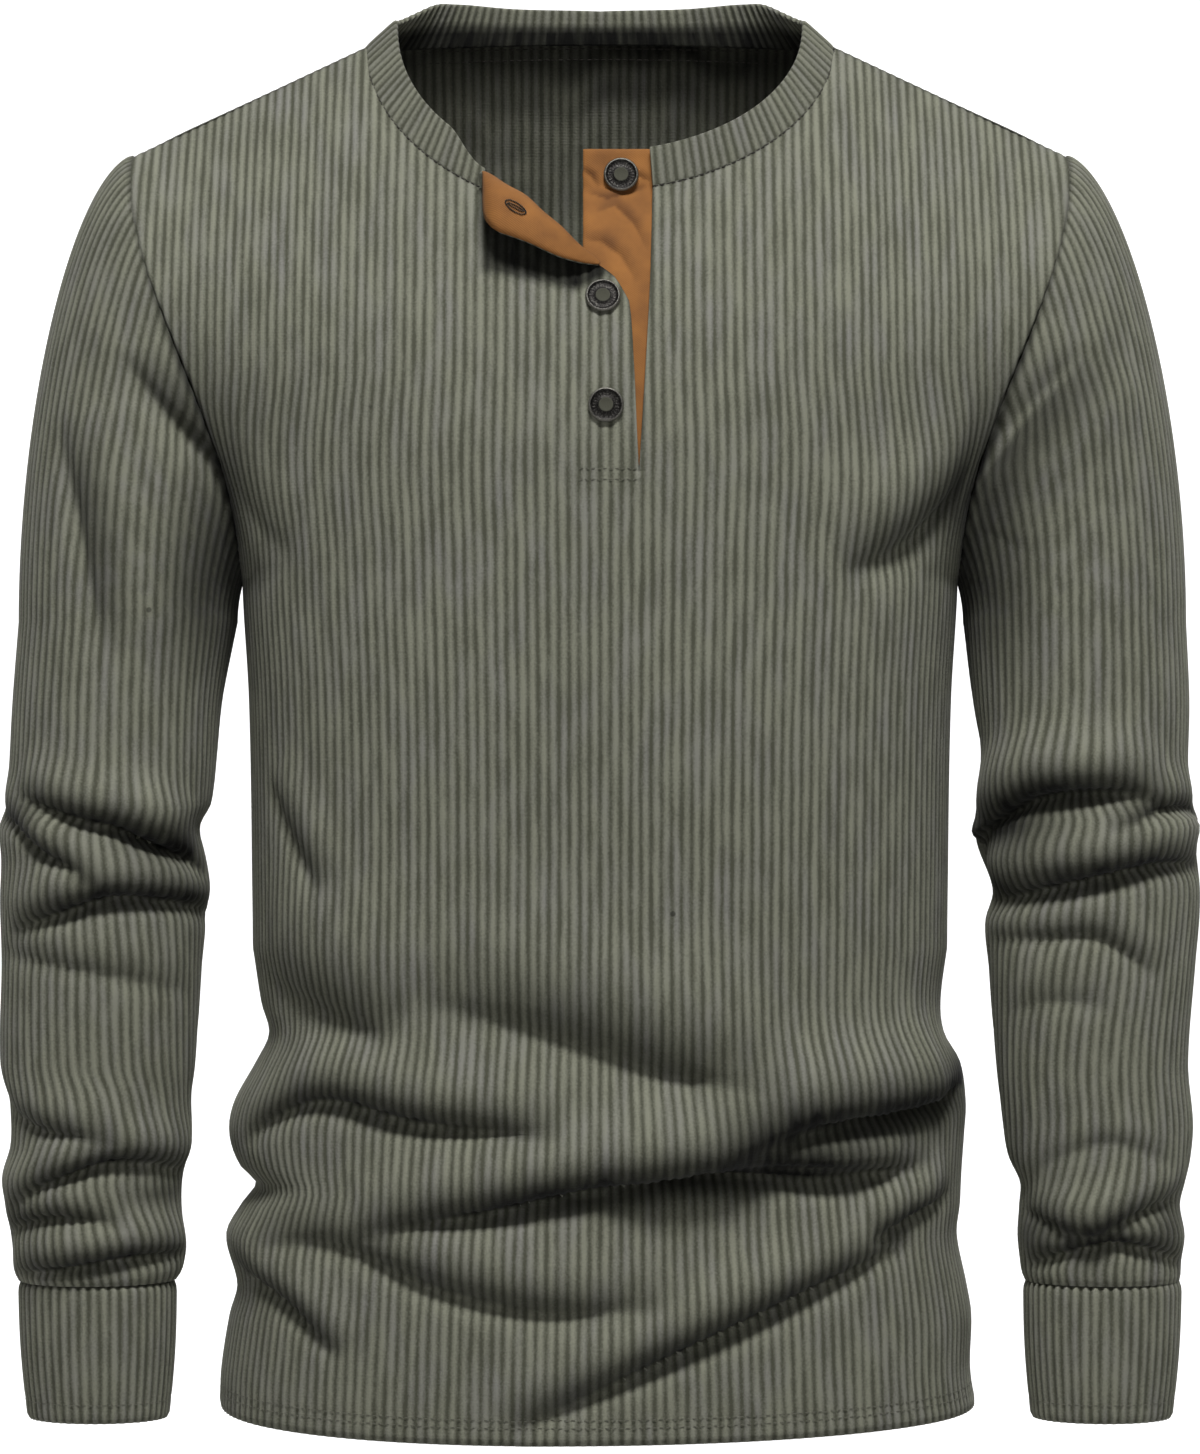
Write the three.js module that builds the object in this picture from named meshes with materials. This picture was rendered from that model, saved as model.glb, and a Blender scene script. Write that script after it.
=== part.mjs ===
// Henley shirt: a long-sleeved shirt of ribbed knit with a banded neck, a three-button placket and
// ribbed cuffs, filled out as if worn, with nothing inside it. Sizes are in millimetres. +Z is up, the
// front faces -Y and the wearer's left side is on +X. The origin is the middle of the neck, level with
// the inner ends of the shoulder seams.
import * as THREE from "three";

// Cloth and making up
const CLOTH = 1.8;
const DOUBLE_CLOTH = 2.8;
const SEAM_GAP = 0.3;
const RIB_PITCH = 5.3;
const RIB_RISE = 0.9;

// Heights of the body's main levels
const NECK_LEVEL = 2.6;
const SHOULDER_TIP_LEVEL = -55;
const UNDERARM = -277;
const HEM = -708;
const CUFF_TOP = -644;
const CUFF_END = -715.5;

// Half widths at the neck, the shoulder tips and the underarms
const SHOULDER_TIP = 244.7;
const NECK_SIDE = SHOULDER_TIP / 2;
const UNDERARM_SIDE = 187;

// How far the armhole reaches before and behind the shoulder seam
const ARMHOLE_FRONT = 62;
const ARMHOLE_BACK = 70;
const ARMHOLE_STEPS = 10;

// Neck opening and its band
const NECK_DROP_RIGHT = 94;
const NECK_DROP_LEFT = 82;
const NECK_CURVE = 1.9;
const NECK_BACK_RISE = 8;
const NECK_BACK_REACH = 60;
const BAND_WIDTH = 20.5;
const BAND_END_WIDTH = 10;

// Placket: where its slit lies across the front, and where it stops
const SLIT_ACROSS = 1 / 16;
const SLIT_END = -226;
const STAND_TOP = -57.5;
const STAND_LEFT = -8.7;
const STAND_TUCK = 9;
const LAPEL_START = -1 / 4;

const BUTTON_RADIUS = 9;
const BUTTON_SIDES = 16;
const STAND_HOLLOW = 0.7;

const COLOUR = { knit: "#696a5e", facing: "#925f33", metal: "#3d3730" };

// The body, a row for each level, from the hem up: its half width, and how far the front and back reach
const BODY = [
  { z: -712, half: 196, front: 117, back: 110 },
  { z: -620, half: 190, front: 116, back: 108 },
  { z: -560, half: 187, front: 114, back: 104 },
  { z: -500, half: 182, front: 113, back: 100 },
  { z: -425, half: 182, front: 116, back: 101 },
  { z: -341, half: 183.5, front: 119, back: 105 },
  { z: UNDERARM, half: UNDERARM_SIDE, front: 118, back: 108 },
  { z: -160, half: UNDERARM_SIDE, front: 117, back: 112 },
  { z: 80, half: UNDERARM_SIDE, front: 117, back: 112 },
];

// How far the folded sides stand out from those half widths, right and left side of the wearer
const SIDES = [
  { z: -712, right: 3, left: 1 },
  { z: -690, right: 3.5, left: -1 },
  { z: -662, right: 1, left: 1.5 },
  { z: -646, right: -2, left: 0 },
  { z: -620, right: 5.5, left: -3.5 },
  { z: -604, right: -2, left: -1 },
  { z: -593, right: -9, left: 0 },
  { z: -583, right: 0.5, left: 1 },
  { z: -567, right: 6.5, left: 3 },
  { z: -551, right: 5, left: 5 },
  { z: -530, right: -4.5, left: 4 },
  { z: -515, right: -10, left: -3 },
  { z: -499, right: -5, left: -4 },
  { z: -470, right: 0, left: 0 },
];

// Sleeves, a row for each level, from the cuff up: the outer and inner edge seen from the front
const SLEEVE_RIGHT = [
  { z: -644, outer: 304.5, inner: 220.5 },
  { z: -636, outer: 306, inner: 218 },
  { z: -625, outer: 306.5, inner: 216.5 },
  { z: -606, outer: 309.5, inner: 219 },
  { z: -590, outer: 312, inner: 218.5 },
  { z: -572, outer: 307.5, inner: 214 },
  { z: -548, outer: 308.5, inner: 214 },
  { z: -530, outer: 313, inner: 212 },
  { z: -478, outer: 312.5, inner: 208.5 },
  { z: -446, outer: 313.5, inner: 206 },
  { z: -425, outer: 313, inner: 207 },
  { z: -407, outer: 314, inner: 210 },
  { z: -394, outer: 310.5, inner: 204 },
  { z: -341, outer: 307.5, inner: 198.5 },
  { z: -300, outer: 304.5, inner: 190.6 },
];
const SLEEVE_LEFT = [
  { z: -644, outer: 303.5, inner: 221 },
  { z: -635, outer: 303, inner: 220 },
  { z: -620, outer: 305, inner: 218.5 },
  { z: -604, outer: 302.5, inner: 219.5 },
  { z: -593, outer: 305, inner: 220 },
  { z: -580, outer: 308, inner: 214 },
  { z: -562, outer: 309.5, inner: 211 },
  { z: -530, outer: 307, inner: 207.5 },
  { z: -478, outer: 311, inner: 203.5 },
  { z: -457, outer: 313, inner: 202 },
  { z: -440, outer: 313.5, inner: 206 },
  { z: -415, outer: 311.5, inner: 197.5 },
  { z: -404, outer: 313.5, inner: 198 },
  { z: -392, outer: 308, inner: 204 },
  { z: -341, outer: 308.5, inner: 196 },
  { z: -300, outer: 307, inner: 191 },
];

// How deep a sleeve is from its middle to its front, and where its middle lies
const SLEEVE_DEPTH = [
  { z: -644, depth: 40, middle: -14 },
  { z: -600, depth: 44, middle: -13 },
  { z: -520, depth: 50, middle: -11 },
  { z: -446, depth: 54, middle: -8 },
  { z: -383, depth: 58, middle: -4 },
  { z: -300, depth: 61, middle: 0 },
];

const CUFF_EDGES = { top: { outer: 303.5, inner: 221.5 }, end: { outer: 298.5, inner: 225.5 } };
const CUFF_DEPTH = { top: 38.5, end: 34 };
const CUFF_MIDDLE = -14;

// Folds of the body. A path gives the angle round the body in degrees, from 0 at the middle of the front
// to 90 at the wearer's left side and 180 at the back, and the height. The cloth bulges by depth above
// the path and sinks as much below it, each at a distance of spread.
const BODY_FOLDS = [
  { depth: 4.5, spread: 11, path: [[-74, -566], [-51, -541], [-29, -551], [-5, -559]] },
  { depth: 7, spread: 13, path: [[22, -561], [32, -547], [54, -546], [80, -540]] },
  { depth: 6.5, spread: 14, path: [[-42, -606], [-22, -598], [-2, -584], [17, -576], [39, -579], [64, -575]] },
  { depth: 3.5, spread: 13, path: [[-68, -618], [-45, -614], [-25, -635], [-6, -647], [14, -641]] },
  { depth: 3, spread: 8, path: [[-80, -628], [-58, -645], [-42, -674]] },
  { depth: 6, spread: 13, path: [[-14, -708], [11, -668], [34, -636], [58, -612]] },
  { depth: 4, spread: 8, path: [[46, -611], [57, -602], [74, -592]] },
  { depth: 4.5, spread: 24, path: [[-74, -476], [-48, -494], [-34, -510]] },
  { depth: 4.5, spread: 22, path: [[-30, -486], [-7, -502], [17, -527], [32, -525]] },
  { depth: 2, spread: 10, path: [[-68, -380], [-50, -438]] },
  { depth: 4.5, spread: 15, path: [[50, -264], [62, -240], [76, -215]] },
  { depth: 3.5, spread: 14, path: [[-74, -226], [-64, -246], [-54, -264]] },
  { depth: 6, spread: 14, path: [[104, -548], [130, -556], [160, -548], [190, -556]] },
  { depth: 6.5, spread: 15, path: [[118, -590], [150, -602], [185, -592], [222, -604], [250, -598]] },
  { depth: 5, spread: 13, path: [[196, -560], [226, -546], [256, -558]] },
  { depth: 4.5, spread: 14, path: [[112, -646], [142, -634], [176, -650], [206, -640]] },
  { depth: 4, spread: 20, path: [[140, -486], [172, -505], [206, -492], [232, -500]] },
  { depth: 3.5, spread: 16, path: [[104, -250], [120, -225], [134, -190]] },
  { depth: 3.5, spread: 16, path: [[256, -250], [240, -225], [226, -190]] },
];

// Folds of the sleeves, given in the same way, from 0 at the front of the sleeve towards +X
const RIGHT_SLEEVE_FOLDS = [
  { depth: 4, spread: 8, path: [[-60, -384], [-20, -396], [20, -404], [70, -418]] },
  { depth: 3, spread: 6, path: [[8, -398], [40, -412], [80, -428]] },
  { depth: 3, spread: 7, path: [[-90, -394], [-52, -403], [-26, -418], [4, -430]] },
  { depth: 4.5, spread: 9, path: [[-60, -458], [-19, -446], [10, -438], [50, -441], [100, -450]] },
  { depth: 2, spread: 9, path: [[-76, -462], [-10, -472], [70, -482]] },
  { depth: 2.5, spread: 8, path: [[-84, -545], [-32, -560], [20, -563]] },
  { depth: 4, spread: 8, path: [[-66, -602], [-18, -584], [20, -575], [90, -584]] },
  { depth: 2.5, spread: 7, path: [[-84, -616], [-24, -605], [26, -609]] },
  { depth: 3, spread: 7, path: [[-74, -637], [-19, -631], [30, -625], [90, -626]] },
  { depth: 3.5, spread: 8, path: [[-4, -138], [32, -163], [58, -190], [84, -240]] },
  { depth: 3, spread: 9, path: [[-16, -160], [12, -196], [40, -226], [70, -254]] },
  { depth: 2.5, spread: 12, path: [[-40, -195], [-20, -245], [-2, -318]] },
  { depth: 4, spread: 9, path: [[110, -430], [150, -412], [200, -422], [236, -408]] },
  { depth: 3.5, spread: 9, path: [[120, -470], [165, -458], [210, -470]] },
  { depth: 3.5, spread: 8, path: [[105, -588], [150, -602], [200, -590], [240, -600]] },
  { depth: 3, spread: 8, path: [[120, -560], [170, -552], [230, -566]] },
];
const LEFT_SLEEVE_FOLDS = [
  { depth: 3.5, spread: 9, path: [[6, -134], [-31, -163], [-56, -186], [-84, -214]] },
  { depth: 3.5, spread: 10, path: [[30, -160], [3, -190], [-18, -216], [-44, -252]] },
  { depth: 3.5, spread: 8, path: [[-16, -200], [-47, -221], [-84, -242]] },
  { depth: 4.5, spread: 10, path: [[-96, -420], [-54, -391], [-10, -382], [40, -385]] },
  { depth: 3.5, spread: 7, path: [[4, -406], [37, -395], [66, -394], [96, -404]] },
  { depth: 4, spread: 8, path: [[-76, -440], [-30, -433], [0, -427], [36, -421], [84, -423]] },
  { depth: 3, spread: 8, path: [[-84, -462], [-36, -461], [-4, -459], [16, -469], [36, -482]] },
  { depth: 2, spread: 9, path: [[-66, -495], [-11, -488], [30, -492]] },
  { depth: 2.5, spread: 9, path: [[-60, -585], [-9, -566], [16, -567], [60, -582]] },
  { depth: 3, spread: 8, path: [[-78, -602], [-20, -609], [12, -604], [70, -592]] },
  { depth: 3, spread: 7, path: [[-72, -630], [-16, -619], [15, -619], [76, -631]] },
  { depth: 4, spread: 9, path: [[110, -416], [150, -430], [200, -414], [240, -424]] },
  { depth: 3.5, spread: 9, path: [[130, -462], [180, -452], [226, -466]] },
  { depth: 3.5, spread: 8, path: [[105, -592], [150, -582], [200, -596], [240, -588]] },
  { depth: 3, spread: 8, path: [[120, -552], [170, -562], [230, -550]] },
];
const BODY_FOLD_RADIUS = 150;
const SLEEVE_FOLD_RADIUS = 52;
const FOLD_PATH_STEPS = 5;

// The overlap's turned-back edge, seen from the front: from the end of the neckband to its free edge
const LAPEL_EDGE = [
  { x: -61.2, z: -77.4 },
  { x: -38, z: -88 },
  { x: -17, z: -105 },
  { x: 1, z: -120.6 },
  { x: 8, z: -126.5 },
  { x: 14.7, z: -138 },
];

// The slit's two edges, from its end up: the overlap's free edge and the front's own edge beyond it
const OVERLAP_EDGE = [
  { z: SLIT_END, x: 19.7 },
  { z: -206, x: 18.7 },
  { z: -171, x: 17.2 },
  { z: -138, x: 14.7 },
  { z: -120, x: 9 },
];
const UNDER_EDGE = [
  { z: SLIT_END, x: 19.7 },
  { z: -206, x: 21 },
  { z: -130, x: 25.4 },
  { z: -70, x: 27.2 },
];

const BUTTONS = [
  { name: "button_top", x: 10.8, z: -72, onStand: true },
  { name: "button_middle", x: 1.5, z: -136.5, onStand: false },
  { name: "button_bottom", x: 3, z: -192.5, onStand: false },
];

// Helpers

const clamp = (value, low, high) => Math.min(Math.max(value, low), high);
const mix = (from, to, share) => from + (to - from) * share;

function smooth(value) {
  const t = clamp(value, 0, 1);
  return t * t * (3 - 2 * t);
}

// A smooth curve through the rows of a table: the value of one column at any place along another.
function through(rows, along, column) {
  const at = rows.map((row) => row[along]);
  const value = rows.map((row) => row[column]);
  const last = rows.length - 1;
  const slope = rows.map((_, i) => {
    const before = Math.max(i - 1, 0);
    const after = Math.min(i + 1, last);
    return (value[after] - value[before]) / (at[after] - at[before]);
  });
  return (place) => {
    const x = clamp(place, at[0], at[last]);
    let i = 0;
    while (i < last - 1 && x > at[i + 1]) i += 1;
    const step = at[i + 1] - at[i];
    const t = (x - at[i]) / step;
    const rise = value[i + 1] - value[i];
    const leave = slope[i] * step - rise;
    const arrive = slope[i + 1] * step - rise;
    return value[i] + t * rise + t * (1 - t) * ((1 - t) * leave - t * arrive);
  };
}

// Folds ready for use: each path as closely spaced points in millimetres round the cloth and in height.
function layFolds(folds, radius) {
  return folds.map(({ depth, spread, path }) => {
    const rows = path.map(([angle, z], at) => ({ at, round: THREE.MathUtils.degToRad(angle) * radius, z }));
    const round = through(rows, "at", "round");
    const height = through(rows, "at", "z");
    const count = (path.length - 1) * FOLD_PATH_STEPS;
    const points = Array.from({ length: count + 1 }, (_, i) => {
      const at = i / FOLD_PATH_STEPS;
      return [round(at), height(at)];
    });
    return { depth, spread, points };
  });
}

// How far one fold moves the cloth out at a place: a bulge above its path, a trough below it, both
// dying away towards its ends.
function foldRise({ depth, spread, points }, round, z) {
  let nearest = Infinity;
  let side = 1;
  let along = 0;
  for (let i = 0; i < points.length - 1; i += 1) {
    const [ax, az] = points[i];
    const dx = points[i + 1][0] - ax;
    const dz = points[i + 1][1] - az;
    const t = clamp(((round - ax) * dx + (z - az) * dz) / (dx * dx + dz * dz), 0, 1);
    const ox = round - ax - t * dx;
    const oz = z - az - t * dz;
    const distance = Math.hypot(ox, oz);
    if (distance < nearest) {
      nearest = distance;
      side = dx * oz - dz * ox < 0 ? -1 : 1;
      along = (i + t) / (points.length - 1);
    }
  }
  const reach = (side * nearest) / spread;
  const taper = Math.sin(Math.PI * along) ** 0.7;
  return depth * taper * reach * Math.exp((1 - reach * reach) / 2);
}

// The rise of all the folds together, on cloth that closes on itself after one turn.
function foldField(folds, radius) {
  const laid = layFolds(folds, radius);
  const turn = 2 * Math.PI * radius;
  return (angle, z) => {
    const round = angle * radius;
    let rise = 0;
    for (const fold of laid) {
      rise += foldRise(fold, round, z);
      rise += foldRise(fold, round + turn, z);
    }
    return rise;
  };
}

// A closed wall of cloth on a net of four-sided faces that are counterclockwise from outside. Its inner
// points lie one thickness in along the net's normals, which steer may turn, and every open edge of the
// net gets a rim.
function clothWall(outer, faces, thickness, steer = (_, normal) => normal) {
  const normals = outer.map(() => new THREE.Vector3());
  for (const [a, b, c, d] of faces) {
    const across = outer[c].clone().sub(outer[a]);
    const normal = across.cross(outer[d].clone().sub(outer[b]));
    for (const corner of [a, b, c, d]) normals[corner].add(normal);
  }
  const inner = outer.map((point, i) => {
    const inward = steer(i, normals[i].normalize().clone().negate()).normalize();
    return point.clone().addScaledVector(inward, thickness);
  });
  const count = outer.length;
  const triangles = [];
  const edges = new Map();
  for (const [a, b, c, d] of faces) {
    triangles.push([a, b, c], [a, c, d]);
    triangles.push([a + count, c + count, b + count], [a + count, d + count, c + count]);
    for (const [from, to] of [[a, b], [b, c], [c, d], [d, a]]) edges.set(`${from},${to}`, [from, to]);
  }
  for (const [from, to] of edges.values()) {
    if (edges.has(`${to},${from}`)) continue;
    triangles.push([to, from, from + count], [to, from + count, to + count]);
  }
  const geometry = new THREE.BufferGeometry();
  const positions = [...outer, ...inner].flatMap((point) => point.toArray());
  geometry.setAttribute("position", new THREE.Float32BufferAttribute(positions, 3));
  geometry.setIndex(triangles.flat());
  geometry.computeVertexNormals();
  return geometry;
}

// The faces of a grid of rows and columns whose points are numbered row by row.
function gridFaces(columns, rows, closed = false) {
  const width = closed ? columns : columns + 1;
  const faces = [];
  for (let row = 0; row < rows; row += 1) {
    for (let column = 0; column < columns; column += 1) {
      const next = (column + 1) % width;
      faces.push([
        row * width + column,
        row * width + next,
        (row + 1) * width + next,
        (row + 1) * width + column,
      ]);
    }
  }
  return faces;
}

// Body shape: how square its section is, how far down it rounds from the shoulders, and how far above the
// neck level the line that this rounding starts from arches
const SECTION_CURVE = 2.4;
const CAP_HEIGHT = { front: 230, back: 200 };
const ARCH_RISE = { front: 0, back: 45 };
const ARCH_DROP = 120;

const bodyHalf = through(BODY, "z", "half");
const bodyReach = { front: through(BODY, "z", "front"), back: through(BODY, "z", "back") };
const sideStep = { right: through(SIDES, "z", "right"), left: through(SIDES, "z", "left") };
const bodyFolds = foldField(BODY_FOLDS, BODY_FOLD_RADIUS);

// How far up the armhole a height lies, from 0 at the underarm to 1 at the shoulder tip.
const armholeShare = (z) => clamp((z - UNDERARM) / (SHOULDER_TIP_LEVEL - UNDERARM), 0, 1);

function halfWidth(z) {
  const share = armholeShare(z);
  const widening = (SHOULDER_TIP - UNDERARM_SIDE) * (1 - Math.cos(Math.PI * share)) * 0.5;
  return (z > UNDERARM ? UNDERARM_SIDE : bodyHalf(z)) + widening;
}

function shoulderLine(x) {
  const share = clamp((Math.abs(x) - NECK_SIDE) / (SHOULDER_TIP - NECK_SIDE), 0, 1);
  return mix(NECK_LEVEL, SHOULDER_TIP_LEVEL, share);
}

// How far the armhole's edge lies before or behind the shoulder seam at a height: a round arch from the
// underarm up to the shoulder seam, which turns into a softer one further in.
function armholeReach(x, z, face) {
  const share = clamp((z - UNDERARM) / (shoulderLine(x) - UNDERARM), 0, 1);
  const reach = face === "front" ? ARMHOLE_FRONT : ARMHOLE_BACK;
  const sideways = Math.min(Math.abs(x) / halfWidth(z), 1);
  return reach * (4 * share * (1 - share)) ** mix(1.5, 0.5, sideways ** 8);
}

function neckline(x, face) {
  const q = clamp(Math.abs(x) / NECK_SIDE, 0, 1);
  if (face === "back") return NECK_LEVEL + NECK_BACK_RISE * (1 - q * q);
  const drop = x < 0 ? NECK_DROP_RIGHT : NECK_DROP_LEFT;
  return NECK_LEVEL - drop * (1 - q ** NECK_CURVE) ** (1 / NECK_CURVE);
}

// The level from which the front and back round forward and backward. At the top it is the shoulder seam,
// and behind the neck it lies higher; further down both blend into one arched line without corners.
function roundingLevel(x, z, face) {
  const q = Math.min(Math.abs(x) / NECK_SIDE, 1);
  const behindNeck = neckline(x, face) + NECK_BACK_REACH * (1 - q * q) ** 0.625;
  const seam = face === "front" || q === 1 ? shoulderLine(x) : behindNeck;
  const arch = mix(NECK_LEVEL + ARCH_RISE[face], SHOULDER_TIP_LEVEL, (x / SHOULDER_TIP) ** 2);
  return mix(seam, arch, smooth((shoulderLine(x) - z) / ARCH_DROP));
}

// Even steps along the cloth from the middle, 0, to the side, 1, as shares of the half width.
const evenStep = (() => {
  const steps = 200;
  const depthShare = 0.62;
  const places = [[0, 0]];
  let length = 0;
  for (let i = 1; i <= steps; i += 1) {
    const [from, to] = [i - 1, i].map((k) => (k / steps) * (Math.PI / 2));
    const across = Math.sin(to) ** (2 / SECTION_CURVE) - Math.sin(from) ** (2 / SECTION_CURVE);
    const deep = Math.cos(from) ** (2 / SECTION_CURVE) - Math.max(Math.cos(to), 0) ** (2 / SECTION_CURVE);
    length += Math.hypot(across, depthShare * deep);
    places.push([length, Math.sin(to) ** (2 / SECTION_CURVE)]);
  }
  return (share) => {
    const wanted = share * length;
    let i = 1;
    while (i < steps && places[i][0] < wanted) i += 1;
    const [[before, low], [after, high]] = [places[i - 1], places[i]];
    return mix(low, high, clamp((wanted - before) / (after - before), 0, 1));
  };
})();

const overlapEdge = through(OVERLAP_EDGE, "z", "x");
const underEdge = through(UNDER_EDGE, "z", "x");

// Distance from the middle at a share across, -1 to 1, and a height, before the slit moves it.
function plainAcross(across, z) {
  const size = Math.abs(across);
  const spreading = smooth(armholeShare(z) * 2);
  return Math.sign(across) * halfWidth(z) * mix(evenStep(size), size, spreading);
}

// The same with the slit's edges drawn to their places: beyond is true on the under side of the slit.
function frontAcross(across, z, beyond) {
  const reach = 0.3;
  const fadeBelow = 80;
  const near = Math.cos(clamp(Math.abs(across - SLIT_ACROSS) / reach, 0, 1) * (Math.PI / 2)) ** 2;
  const wanted = beyond ? underEdge(z) : overlapEdge(z);
  const fade = smooth((z - SLIT_END + fadeBelow) / fadeBelow);
  return plainAcross(across, z) + (wanted - plainAcross(SLIT_ACROSS, z)) * near * fade;
}

// Depth of the smooth body at a place seen from the front, as a distance from the shoulder seams.
function smoothDepth(x, z, face) {
  const q = clamp(Math.abs(x) / halfWidth(z), 0, 1);
  const below = Math.max(roundingLevel(x, z, face) - z, 0);
  const cap = Math.sin((Math.PI / 2) * clamp(below / CAP_HEIGHT[face], 0, 1)) ** 0.8;
  const edge = armholeReach(x, z, face);
  const power = mix(1 / SECTION_CURVE, 0.85, smooth(armholeShare(z) * 2));
  return edge + (bodyReach[face](z) * cap - edge) * (1 - q ** SECTION_CURVE) ** power;
}

// A point of the body's outer face: the smooth body moved out by its folds and by its uneven sides.
function bodyPoint(x, z, face) {
  const facing = face === "front" ? -1 : 1;
  const half = halfWidth(z);
  const q = clamp(x / half, -1, 1);
  const depth = smoothDepth(x, z, face);
  const fromMiddle = Math.asin(q);
  const angle = face === "front" ? fromMiddle : Math.PI - fromMiddle;
  const turn = angle < -Math.PI / 2 ? angle + 2 * Math.PI : angle;
  const calm = smooth((z - UNDERARM - 60) / 80);
  const rise = bodyFolds(turn, z) * (1 - calm);
  const out = new THREE.Vector3(x / half ** 2, (facing * depth) / bodyReach[face](z) ** 2, 0).normalize();
  const side = sideStep[x < 0 ? "right" : "left"](z) * Math.abs(q) ** 5 * Math.sign(x);
  const point = new THREE.Vector3(x + side, facing * Math.max(depth, SEAM_GAP / 2), z);
  return point.addScaledVector(out, rise * Math.min((1 - Math.abs(q)) * 12, 1));
}

const hemLine = (across, face) => HEM - (face === "front" ? 10 - 3 * across : 5) * (1 - across ** 2);

// The level of the row that runs from underarm to underarm past the end of the slit.
const middleLevel = (across) =>
  UNDERARM + ((SLIT_END - UNDERARM) * (1 - across ** 2)) / (1 - SLIT_ACROSS ** 2);

const lapelEdge = through(LAPEL_EDGE, "x", "z");

function topEdge(x, face, lapel) {
  if (Math.abs(x) >= NECK_SIDE) return shoulderLine(x);
  if (lapel && x > LAPEL_EDGE[0].x) return lapelEdge(x);
  return neckline(x, face);
}

// Where a column of the cloth ends at the top, found by halving.
function columnTop(acrossAt, face, lapel) {
  let low = SLIT_END;
  let high = NECK_LEVEL + NECK_BACK_RISE;
  for (let i = 0; i < 40; i += 1) {
    const z = (low + high) / 2;
    if (topEdge(acrossAt(z), face, lapel) > z) low = z;
    else high = z;
  }
  return (low + high) / 2;
}

// Shares of the way up the armhole at even angles round it.
const armholeStep = (row) => (1 - Math.cos((Math.PI * row) / ARMHOLE_STEPS)) / 2;

// One column of the front or back: its points from the hem up.
function bodyColumn(across, face, lowerRows, beyond) {
  const lapel = face === "front" && !beyond && across > LAPEL_START && across <= SLIT_ACROSS;
  const acrossAt = face === "front"
    ? (z) => frontAcross(across, z, beyond)
    : (z) => plainAcross(across, z);
  const level = middleLevel(across);
  const top = Math.abs(across) === 1 ? SHOULDER_TIP_LEVEL : columnTop(acrossAt, face, lapel);
  const heights = [];
  for (let row = 0; row < lowerRows; row += 1) heights.push(mix(hemLine(across, face), level, row / lowerRows));
  for (let row = 0; row <= ARMHOLE_STEPS; row += 1) heights.push(mix(level, top, armholeStep(row)));
  return heights.map((z) => bodyPoint(acrossAt(z), z, face));
}

// Shares across the front or back where its columns lie, closer beside the neck points.
function columnShares(half) {
  const shares = [];
  for (let i = -half; i <= half; i += 1) shares.push(i / half);
  return [...shares, -0.49, -0.47, 0.47, 0.49].sort((a, b) => a - b);
}

// A panel's points are kept to its own side of each seam, in the direction of their thickness too.
function panelSteer(points) {
  return (i, inward) => {
    const { x, y, z } = points[i];
    const onSeam = Math.abs(y) < SEAM_GAP;
    if (onSeam) inward.y = 0;
    const towardsMiddle = -Math.sign(x);
    const atArmhole = z > UNDERARM && Math.abs(x) > halfWidth(z) - 1;
    if (atArmhole && inward.x * towardsMiddle < 0) inward.x = 0;
    if (z > -100 && inward.z > 0) inward.z = 0;
    return inward;
  };
}

const FRONT_SHARES = columnShares(16);
const BACK_SHARES = columnShares(12);
const FRONT_LOWER_ROWS = 24;
const BACK_LOWER_ROWS = 14;

const frontColumns = FRONT_SHARES.map((share) =>
  bodyColumn(share, "front", FRONT_LOWER_ROWS, share > SLIT_ACROSS));
const underColumn = bodyColumn(SLIT_ACROSS, "front", FRONT_LOWER_ROWS, true);
const backColumns = BACK_SHARES.map((share) => bodyColumn(share, "back", BACK_LOWER_ROWS, false));

// The front is one net with a slit: above its end the slit's column is there twice.
function makeFront() {
  const columns = frontColumns.length;
  const rows = FRONT_LOWER_ROWS + ARMHOLE_STEPS;
  const points = [];
  for (let row = 0; row <= rows; row += 1) frontColumns.forEach((column) => points.push(column[row]));
  const slitColumn = FRONT_SHARES.indexOf(SLIT_ACROSS);
  const firstUnder = points.length;
  for (let row = FRONT_LOWER_ROWS + 1; row <= rows; row += 1) points.push(underColumn[row]);
  const number = (row, column, beyond) =>
    beyond && column === slitColumn && row > FRONT_LOWER_ROWS
      ? firstUnder + row - FRONT_LOWER_ROWS - 1
      : row * columns + column;
  const faces = [];
  for (let row = 0; row < rows; row += 1) {
    for (let column = 0; column < columns - 1; column += 1) {
      const beyond = column >= slitColumn;
      faces.push([
        number(row, column, beyond),
        number(row, column + 1, beyond),
        number(row + 1, column + 1, beyond),
        number(row + 1, column, beyond),
      ]);
    }
  }
  return clothWall(points, faces, CLOTH, panelSteer(points));
}

function makeBack() {
  const rows = BACK_LOWER_ROWS + ARMHOLE_STEPS;
  const points = [];
  for (let row = 0; row <= rows; row += 1) {
    for (let i = backColumns.length - 1; i >= 0; i -= 1) points.push(backColumns[i][row]);
  }
  return clothWall(points, gridFaces(backColumns.length - 1, rows), CLOTH, panelSteer(points));
}

// Sleeves

const SLEEVE_LOWER_ROWS = 18;
const SLEEVE_CAP_ROWS = 8;
const SLEEVE_START = -300;

// The armhole's edge as a ring, from the shoulder tip down the front and up the back.
function armholeRing(columnFront, columnBack) {
  const front = columnFront.slice(-ARMHOLE_STEPS - 1).reverse();
  const back = columnBack.slice(-ARMHOLE_STEPS - 1);
  return [...front, ...back.slice(1, -1)];
}

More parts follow.
